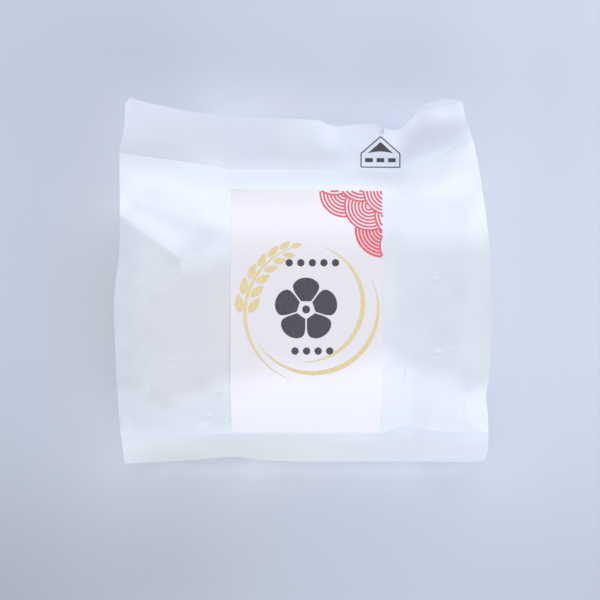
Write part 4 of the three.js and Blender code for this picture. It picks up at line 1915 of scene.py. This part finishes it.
@dataclass(frozen=True)
class WaveCorner:
    """The traditional pattern of overlapping wave circles in the label's upper right corner.

    The circles are listed from the one at the back to the one in front.
    """

    bed: PrintBed
    label: LabelPlan
    circles: tuple[WaveCircle, ...] = (
        WaveCircle(10.75, 22.35), WaveCircle(20.45, 12.75, radius=7.15, line=0.6), WaveCircle(8.2, 28),
        WaveCircle(17.05, 18.85), WaveCircle(25.95, 8.6), WaveCircle(15.25, 26.3), WaveCircle(24.75, 16.8),
        WaveCircle(21.85, 22.95),
    )
    ring_pitch: float = 0.87
    heart_radius: float = 0.3
    heart_clear: float = 0.75
    top_margin: float = 0.42
    side_margin: float = 0.12
    steps: int = 721
    thinning: int = 6
    fewest_steps: int = 4

    def shows(self, x: Array, y: Array, in_front: tuple[WaveCircle, ...]) -> Array:
        """Whether each place is on the label and not covered by a circle in front.

        Args:
            x: places across the pack.
            y: places along it.
            in_front: the circles in front.

        Returns:
            True where the circle shows.
        """
        _, right = self.label.sides(y)
        on = (x < right - self.side_margin) & (y < self.label.top - self.top_margin)
        for circle in in_front:
            on &= np.hypot(x - circle.x, y - circle.y) > circle.radius
        return on

    def shape(self) -> Shape:
        """All the visible arcs.

        Returns:
            The arcs.
        """
        turn = np.linspace(0.0, 2.0 * math.pi, self.steps)
        arcs = []
        for order, circle in enumerate(self.circles):
            in_front = self.circles[order + 1 :]
            for ring in range(int(circle.radius / self.ring_pitch)):
                outer = circle.radius - ring * self.ring_pitch
                middle = outer - circle.line / 2
                x, y = circle.x + middle * np.cos(turn), circle.y + middle * np.sin(turn)
                arcs += self.runs(turn, self.shows(x, y, in_front), circle, outer)
            if self.shows(np.array(circle.x + self.heart_clear), np.array(circle.y), in_front):
                arcs.append(self.bed.disc((circle.x, circle.y), self.heart_radius, 10))
        return joined(arcs)

    def runs(self, turn: Array, seen: Array, circle: WaveCircle, outer: float) -> list[Shape]:
        """Ribbons for the stretches of a ring that show.

        Args:
            turn: angles round the ring.
            seen: whether each angle shows.
            circle: the circle that the ring belongs to.
            outer: the ring's outer radius.

        Returns:
            One ribbon for each stretch.
        """
        if seen.all():
            starts, ends = [0], [len(turn)]
        else:
            shift = int(np.argmin(seen))
            seen = np.roll(seen[:-1], -shift)
            turn = np.concatenate([turn[shift:-1], turn[:shift] + 2.0 * math.pi])
            change = np.diff(np.concatenate([[0], seen.astype(int), [0]]))
            starts, ends = np.flatnonzero(change == 1), np.flatnonzero(change == -1)
        made = []
        middle = np.array([circle.x, circle.y])
        for start, end in zip(starts, ends):
            if end - start < self.fewest_steps:
                continue
            steps = max(self.fewest_steps, (end - start) // self.thinning)
            angle = np.linspace(turn[start], turn[end - 1], steps)
            spoke = np.stack([np.cos(angle), np.sin(angle)], -1)
            made.append(self.bed.strip(middle + outer * spoke, middle + (outer - circle.line) * spoke))
        return made


@dataclass(frozen=True)
class BrushStroke:
    """A brush stroke along an arc: its circle, its first and last angle in degrees and its full width."""

    middle: Point
    radius: float
    start: float
    end: float
    width: float
    fullest: float = 0.5
    least: float = 0.06

    def arc(self, start: float, end: float, steps: int) -> Array:
        """Points on the stroke's circle, from one angle in degrees to another.

        Args:
            start: the first angle.
            end: the last one.
            steps: how many points.

        Returns:
            The points, as count by 2.
        """
        angle = np.radians(np.linspace(start, end, steps))
        x, y = self.middle
        return np.stack([x + self.radius * np.cos(angle), y + self.radius * np.sin(angle)], -1)

    def shape(self, bed: PrintBed) -> Shape:
        """The stroke, which swells from a thin start and thins again to its end.

        Args:
            bed: the surface it is printed on.

        Returns:
            The stroke.
        """
        line = self.arc(self.start, self.end, 90)
        share = np.linspace(0.0, 1.0, len(line))
        grow = np.sin(0.5 * math.pi * np.minimum(share / self.fullest, 1.0))
        shrink = np.sin(0.5 * math.pi * np.minimum((1.0 - share) / (1.0 - self.fullest), 1.0))
        return bed.ribbon(line, self.width * np.maximum(grow * shrink, self.least))


@dataclass(frozen=True)
class GrainRow:
    """One of the two rows of rice grains: distance from the stem and its change, lean, and grain size."""

    out: float
    drift: float
    lean: float
    length: float
    width: float


@dataclass(frozen=True)
class RiceEarRing:
    """A ring of brush strokes with an ear of rice along its left side."""

    bed: PrintBed
    strokes: tuple[BrushStroke, ...] = (
        BrushStroke((0.36, -5.96), 15.04, 70, -92, 1.15),
        BrushStroke((2.66, -7.23), 16.64, 27, -148, 1.2),
        BrushStroke((3.2, -8.75), 17.86, 104, 250, 0.8),
    )
    rows: tuple[GrainRow, ...] = (
        GrainRow(1.7, -0.09, 0.22, 4.8, 2.2),
        GrainRow(-2.15, 0.13, -0.5, 4.5, 2.1),
    )
    pairs: int = 6
    first_angle: float = 172.0
    angle_step: float = 13.9
    angle_gain: float = 0.45
    shrink: float = 0.06
    tip_shift: Point = (-0.5, 0.1)
    tip_lean: float = 12.0
    tip_size: Point = (3.1, 1.3)

    def grain(self, middle: Array, lean: float, length: float, width: float) -> Shape:
        """One rice grain: a pointed oval.

        Args:
            middle: its middle.
            lean: direction of its tip, in radians.
            length: its length.
            width: its width.

        Returns:
            The grain.
        """
        share = np.linspace(0.0, 1.0, 15)
        half = 0.5 * width * np.maximum(np.sin(math.pi * share**0.85) ** 0.8, 0.02)
        tip = np.array([math.cos(lean), math.sin(lean)])
        return self.bed.leaf(middle, tip, (share - 0.5) * length, half, 3)

    def shape(self) -> Shape:
        """The strokes, of which the last is the stem, and the grains.

        Returns:
            The ring.
        """
        parts = [stroke.shape(self.bed) for stroke in self.strokes]
        stem = self.strokes[-1]
        for pair in range(self.pairs):
            angle = self.first_angle - self.angle_step * pair + self.angle_gain * pair**2
            size = 1.0 - self.shrink * pair
            tangent = math.radians(angle - 90.0)
            spoke = np.array([math.cos(math.radians(angle)), math.sin(math.radians(angle))])
            for row in self.rows:
                middle = np.array(stem.middle) + (stem.radius + row.out + row.drift * pair) * spoke
                parts.append(self.grain(middle, tangent + row.lean, row.length * size, row.width * size))
        tip = stem.arc(stem.start, stem.start - 1.0, 2)[0] + np.array(self.tip_shift)
        parts.append(self.grain(tip, math.radians(self.tip_lean), *self.tip_size))
        return joined(parts)


@dataclass(frozen=True)
class PlumBlossom:
    """A five-petal plum blossom in the middle of the ring, with a row of dots above and below."""

    bed: PrintBed
    middle: Point = (0.9, -7.6)
    petals: int = 5
    petal_span: Point = (2.1, 8.1)
    petal_gap: float = 0.26
    petal_half_width: float = 3.45
    round_from: float = 0.55
    round_over: float = 0.452
    heart_radius: float = 1.0
    dot_rows: tuple[tuple[int, float], ...] = ((5, 4.3), (4, -18.2))
    dots_middle: float = 2.5
    dot_pitch: float = 2.95
    dot_radius: float = 0.93

    def petal(self, angle: float) -> Shape:
        """One petal: a wedge with a broad round end, with a narrow gap to its neighbours.

        Args:
            angle: direction of its tip.

        Returns:
            The petal.
        """
        turn = np.linspace(0.0, 1.0, 40) ** 0.8
        start, end = self.petal_span
        out = mix(start, end, turn)
        wedge = math.tan(math.pi / self.petals) * out - self.petal_gap
        past = np.maximum(turn - self.round_from, 0.0) / self.round_over
        round_end = np.sqrt(np.clip(1.0 - past**2, 0.0, 1.0))
        half = lower_of(wedge, np.full_like(wedge, self.petal_half_width), 1.0) * round_end
        tip = np.array([math.cos(angle), math.sin(angle)])
        return self.bed.leaf(np.array(self.middle), tip, out, half, 5)

    def shape(self) -> Shape:
        """The petals, heart and dots.

        Returns:
            The blossom.
        """
        parts = [self.bed.disc(self.middle, self.heart_radius)]
        for number in range(self.petals):
            angle = math.radians(90.0 + 360.0 * number / self.petals)
            parts.append(self.petal(angle))
        for count, row_y in self.dot_rows:
            for number in range(count):
                dot_x = self.dots_middle + self.dot_pitch * (number - (count - 1) / 2)
                parts.append(self.bed.disc((dot_x, row_y), self.dot_radius, 16))
        return joined(parts)


@dataclass(frozen=True)
class PaperLabel:
    """The label stuck on the front panel, and everything printed on it."""

    drawing: Drawing
    plan: PackPlan
    place: LabelPlan
    rows: int = 150
    columns: int = 90
    cockle: Grain = Grain(71, (12.0, 9.0), 0.05)
    loose_run: float = 2.0
    loose_from: Point = (-42.0, -36.0)
    loose_to: Point = (-8.0, 0.0)
    sag_run: float = 6.0
    damp_from: Point = (-30.0, -17.0)
    damp_lower: Point = (4.0, -2.5)
    damp_to: Point = (4.0, 16.0)
    damp_lost: float = 0.7
    # Painted shade along the top of the label, and how much greyer its foot is.
    top_painted_shade: float = 0.3
    foot_grey: float = 0.2

    def height(self, x: Array, y: Array) -> Array:
        """Height of the label's printed side.

        Args:
            x: places across the pack.
            y: places along it.

        Returns:
            The heights.
        """
        left, _ = self.place.sides(y)
        at_edge = 1.0 - ease(0.0, self.loose_run, x - left)
        loose = at_edge * ease(*self.loose_from, y) * (1.0 - ease(*self.loose_to, y))
        lift = self.place.gap + self.place.thickness + self.place.left_lift * loose
        return self.plan.front(x, y) + lift + self.cockle(x, y)

    def dampness(self, x: Array, y: Array) -> Array:
        """How damp the paper looks, from 0 to 1, with painted shade added along its top and a greyer strip
        along its foot.

        Args:
            x: places across the label.
            y: places along it.

        Returns:
            The shares. They rise where the rice starts, and that is lower on the left than on the right.
        """
        on_left, on_right = self.damp_lower
        lower = on_left * (1.0 - ease(-21.0, -3.0, x)) + on_right * ease(8.0, 18.0, x)
        over_rice = ease(*self.damp_from, y + lower) * (1.0 - self.damp_lost * ease(*self.damp_to, y))
        # Painted shade along the label's top, and a greyer strip along its foot.
        at_top = self.top_painted_shade * ease(17.0, 22.0, y) * (1.0 - ease(0.0, 8.0, x))
        return over_rice + at_top + self.foot_grey * (1.0 - ease(-40.2, -37.0, y))

    def sheet(self) -> Shape:
        """The paper as a closed sheet.

        Returns:
            The sheet.
        """
        place = self.place
        y = np.linspace(place.bottom, place.top, self.rows)[:, None]
        left, right = place.sides(y)
        across = np.linspace(0.0, 1.0, self.columns)[None, :]
        x = mix(left, right, across)
        y = y - mix(*place.sag, across) * (1.0 - ease(place.bottom, place.bottom + self.sag_run, y))
        top = self.height(x, y)
        return closed_sheet(x, y, top, top - place.thickness, {"damp": self.dampness(x, y)})

    def build(self, paper: Material, red: Material, gold: Material, dark: Material) -> None:
        """Makes the label's pieces.

        Args:
            paper: the paper's material.
            red: ink of the waves.
            gold: ink of the ring.
            dark: ink of the blossom.
        """
        sheet = self.drawing.object("label_paper", self.sheet(), paper, "paper")
        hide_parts("label")
        bed = PrintBed(self.height)
        self.drawing.object("label_waves", WaveCorner(bed, self.place).shape(), red, "paper")
        self.drawing.object("label_rice_ear_ring", RiceEarRing(bed).shape(), gold, "paper")
        self.drawing.object("label_blossom", PlumBlossom(bed).shape(), dark, "paper")


@dataclass(frozen=True)
class TearMark:
    """The small house-shaped mark under the notch: an arrowhead over three dashes, in a thin frame."""

    drawing: Drawing
    fin: SealFin
    apex: Point = (20.45, 37.6)
    shoulder: Point = (5.1, 4.4)
    base: float = 7.95
    line: float = 0.28
    roof_half: float = 3.25
    roof_top: float = 1.4
    roof_fall: float = 2.85
    sill: float = 4.3
    sill_arch: float = 0.45
    dashes: int = 3
    dash_pitch: float = 3.0
    dash_half: float = 1.0
    dash_low: float = 6.1
    dash_width: float = 1.05

    def height(self, x: Array, y: Array) -> Array:
        """Height of the fin that the mark is printed on."""
        return self.fin.upper(x, y, self.fin.out_at(x, y))

    def shape(self) -> Shape:
        """The mark's lines and arrowhead.

        Returns:
            The mark.
        """
        bed = PrintBed(self.height)
        x, y = self.apex
        wide, low = self.shoulder
        right, left, foot = x + wide, x - wide, y - self.base
        corners = [(x, y), (right, y - low), (right, foot), (left, foot), (left, y - low), (x, y)]
        parts = []
        for start, end in zip(corners, corners[1:]):
            parts.append(bed.ribbon(np.linspace(start, end, 12), self.line))
        aside = np.linspace(-1.0, 1.0, 29)
        across = x + self.roof_half * aside
        roof = np.stack([across, y - self.roof_top - self.roof_fall * np.abs(aside)], -1)
        sill = np.stack([across, y - self.sill + self.sill_arch * (1.0 - aside**2)], -1)
        parts.append(bed.strip(roof, sill, 7))
        dash_y = y - self.dash_low
        for number in range(self.dashes):
            middle = x + self.dash_pitch * (number - (self.dashes - 1) // 2)
            ends = (middle - self.dash_half, dash_y), (middle + self.dash_half, dash_y)
            parts.append(bed.ribbon(np.linspace(*ends, 4), self.dash_width))
        return joined(parts)

    def build(self, dark: Material) -> None:
        """Makes the mark."""
        self.drawing.object("tear_mark", self.shape(), dark, "film")


# ---- The studio ----


@dataclass(frozen=True)
class Softbox:
    """A soft rectangular lamp that points at the pack."""

    name: str
    place: tuple[float, float, float]
    size: Point
    power: float
    color: Color = (1.0, 1.0, 1.0)
    aim: tuple[float, float, float] = (0.0, 0.0, 0.015)

    def build(self) -> None:
        """Makes the lamp."""
        lamp = bpy.data.lights.new(self.name, "AREA")
        lamp.shape = "RECTANGLE"
        lamp.size, lamp.size_y = self.size
        lamp.energy = self.power
        lamp.color = self.color
        holder = bpy.data.objects.new(self.name, lamp)
        bpy.context.scene.collection.objects.link(holder)
        holder.location = self.place
        holder.rotation_euler = (Vector(self.aim) - Vector(self.place)).to_track_quat("-Z", "Y").to_euler()


@dataclass(frozen=True)
class Glow:
    """Light that the pack throws on the floor along a line, brightest on the line itself."""

    start: Point
    end: Point
    amount: float
    reach: float

    def at(self, x: Array, y: Array) -> Array:
        """Lightness that the glow adds at these places."""
        return self.amount * np.exp(-away_from(x, y, self.start, self.end) / self.reach)


@dataclass(frozen=True)
class Floor:
    """The pale surface that the pack lies on, with painted light and shade: lighter to the right and next
    to the pack, painted shade towards the bottom and corners, and a duller painted shadow colour beside the
    pack.
    """

    color: Color = (0.535, 0.574, 0.632)
    half: float = 400.0
    steps: int = 161
    roughness: float = 0.7
    specular: float = 0.15
    brightest: float = 1.8
    # Painted light across the floor: lighter to the right, with painted shade towards the bottom.
    drift: Point = (0.065, 0.125)
    drift_over: Point = (80.0, 95.0)
    # Painted light that the pack throws on the floor beside its edges.
    glows: tuple[Glow, ...] = (
        Glow((-22, 44), (30, 44), 0.45, 9.5),
        Glow((-42, 47), (-14, 45), 0.18, 11),
        Glow((-12, -47), (28, -47), 0.39, 5.8),
        Glow((-40, -49), (-22, -48), 0.12, 6),
        Glow((-36, -48), (42, -48.5), 0.32, 1.8),
        Glow((-48, -46), (48, -48), 0.16, 9),
        Glow((-48, -30), (-48, 20), 0.28, 13),
        Glow((-48, 22), (-47, 38), 0.18, 8),
        Glow((-49, -36), (-48, -42), 0.15, 6),
        Glow((49, -36), (46.5, 27), 0.19, 11),
    )
    # Painted shade in wide patches towards the corners.
    corners: tuple[Spot, ...] = (
        Spot((-90, -95), (45, 45), -0.14),
        Spot((95, -95), (40, 40), -0.08),
        Spot((-52, 55), (30, 24), -0.06),
        Spot((36, 56), (16, 12), -0.06),
        Spot((70, 54), (16, 32), -0.045),
        Spot((-34, -76), (18, 14), -0.045),
    )
    # Duller painted shadow colour beside the pack, strongest on its left.
    shadow_tint: Color = (0.575, 0.574, 0.591)
    shadow_tint_spots: tuple[Spot, ...] = (
        Spot((-48, -6), (14, 34), 1),
        Spot((-8, 46), (34, 9), 0.4),
        Spot((49, -2), (9, 28), 0.35),
        Spot((-12, -48), (30, 8), 0.4),
        Spot((-30, -62), (18, 18), 0.25),
    )

    def tone(self, x: Array, y: Array) -> Array:
        """Painted light and shade at each place, where 1 is the plain colour.

        Args:
            x: places across the pack.
            y: places along it.

        Returns:
            The tones.
        """
        over_x, over_y = self.drift_over
        across, low = np.clip(x / over_x, -1.2, 1.2), ease(0.0, over_y, -y)
        tone = 1.0 + self.drift[0] * across - self.drift[1] * low
        for glow in self.glows:
            tone = tone + glow.at(x, y)
        return tone + total(self.corners, x, y)

    def build(self) -> None:
        """Makes the floor."""
        material, shader = new_material("floor", self.roughness, self.specular)
        desk = NodeDesk(material)
        bright = tuple(self.brightest * channel for channel in self.color)
        shadow_tint = tuple(self.brightest * channel for channel in self.shadow_tint)
        full = desk.blend(desk.paint("shadow_tint"), bright, shadow_tint)
        desk.links.new(desk.blend(desk.paint("tone"), (0.0, 0.0, 0.0), full), shader.inputs["Base Color"])
        line = np.linspace(-1.0, 1.0, self.steps) ** 3 * self.half
        y, x = np.meshgrid(line, line, indexing="ij")
        points = np.stack([x, y, np.zeros_like(x)], -1).reshape(-1, 3)
        # The floor's painted light and shade, and its painted shadow colour.
        paint = {
            "tone": self.tone(x, y) / self.brightest,
            "shadow_tint": np.clip(total(self.shadow_tint_spots, x, y), 0.0, 1.0),
        }
        floor = new_piece("floor", points, grid_faces(self.steps, self.steps), paint, material)


@dataclass(frozen=True)
class Studio:
    """The soft lamps and the camera straight above."""

    camera_place: Point = (-0.66, -4.63)
    camera_height: float = 540.0
    frame_width: float = 157.8
    frame_height: float = 15.0
    sensor: float = 36.0
    sky: Color = (1.0, 1.02, 1.115)
    sky_strength: float = 0.88
    lamps: tuple[Softbox, ...] = (
        Softbox("window_far", (0.25, 1.1, 0.75), (1.2, 0.7), 4.2, (0.95, 1.0, 1.05)),
        Softbox("window_near", (0.35, -1.1, 0.75), (1.2, 0.7), 4.6, (0.95, 1.0, 1.05)),
        Softbox("window_right", (1.1, 0.0, 0.8), (0.8, 0.7), 1.4, (0.95, 1.0, 1.05)),
    )

    def camera(self) -> None:
        """Makes the camera, whose frame is as wide as given at the frame height."""
        lens = bpy.data.cameras.new("camera")
        lens.sensor_width = self.sensor
        lens.lens = self.sensor * (self.camera_height - self.frame_height) / self.frame_width
        lens.clip_start = 0.01
        holder = bpy.data.objects.new("camera", lens)
        holder.location = (self.camera_place[0] * MM, self.camera_place[1] * MM, self.camera_height * MM)
        bpy.context.scene.collection.objects.link(holder)
        bpy.context.scene.camera = holder

    def light(self) -> None:
        """Makes the sky and the lamps."""
        world = bpy.data.worlds.new("sky")
        world.use_nodes = True
        background = world.node_tree.nodes["Background"]
        background.inputs["Color"].default_value = (*self.sky, 1.0)
        background.inputs["Strength"].default_value = self.sky_strength
        bpy.context.scene.world = world
        for lamp in self.lamps:
            lamp.build()

    def build(self) -> None:
        """Makes the whole studio."""
        self.camera()
        Floor().build()
        self.light()
        view = bpy.context.scene.view_settings
        view.view_transform = "Standard"
        view.look = "None"
        view.exposure = 0.0
        view.gamma = 1.0


def main() -> None:
    """Builds the dressed pack and the studio."""
    logging.basicConfig(level=logging.INFO, format="%(name)s: %(message)s")
    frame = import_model()
    LOG.info("frame nodes: %s", sorted(frame["nodes"]))
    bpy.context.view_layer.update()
    Studio().build()
    plan, relief, place = PackPlan(), FilmRelief(), LabelPlan()
    drawing = Drawing.beside("label", place.left, place.bottom)
    film = FrostedFilm().material()
    sealed = FrostedFilm(
        "sealed_film",
        white=(0.757, 0.80, 0.85),
        grey=(0.545, 0.562, 0.638),
        warm=(0.552, 0.572, 0.51),
    ).material()
    pack = FilmPack(drawing, plan, relief, place)
    pack.build(film, sealed)
    red = PrintInk("red_ink", (0.7, 0.105, 0.125), (0.76, 0.155, 0.18)).material()
    gold = PrintInk("gold_ink", (0.67, 0.54, 0.257), (0.71, 0.588, 0.323)).material()
    dark = PrintInk("dark_ink", (0.064, 0.056, 0.066), (0.076, 0.067, 0.079)).material()
    PaperLabel(drawing, plan, place).build(LabelPaper().material(), red, gold, dark)
    TearMark(drawing, pack.top_fin()).build(dark)


if __name__ == "__main__":
    main()
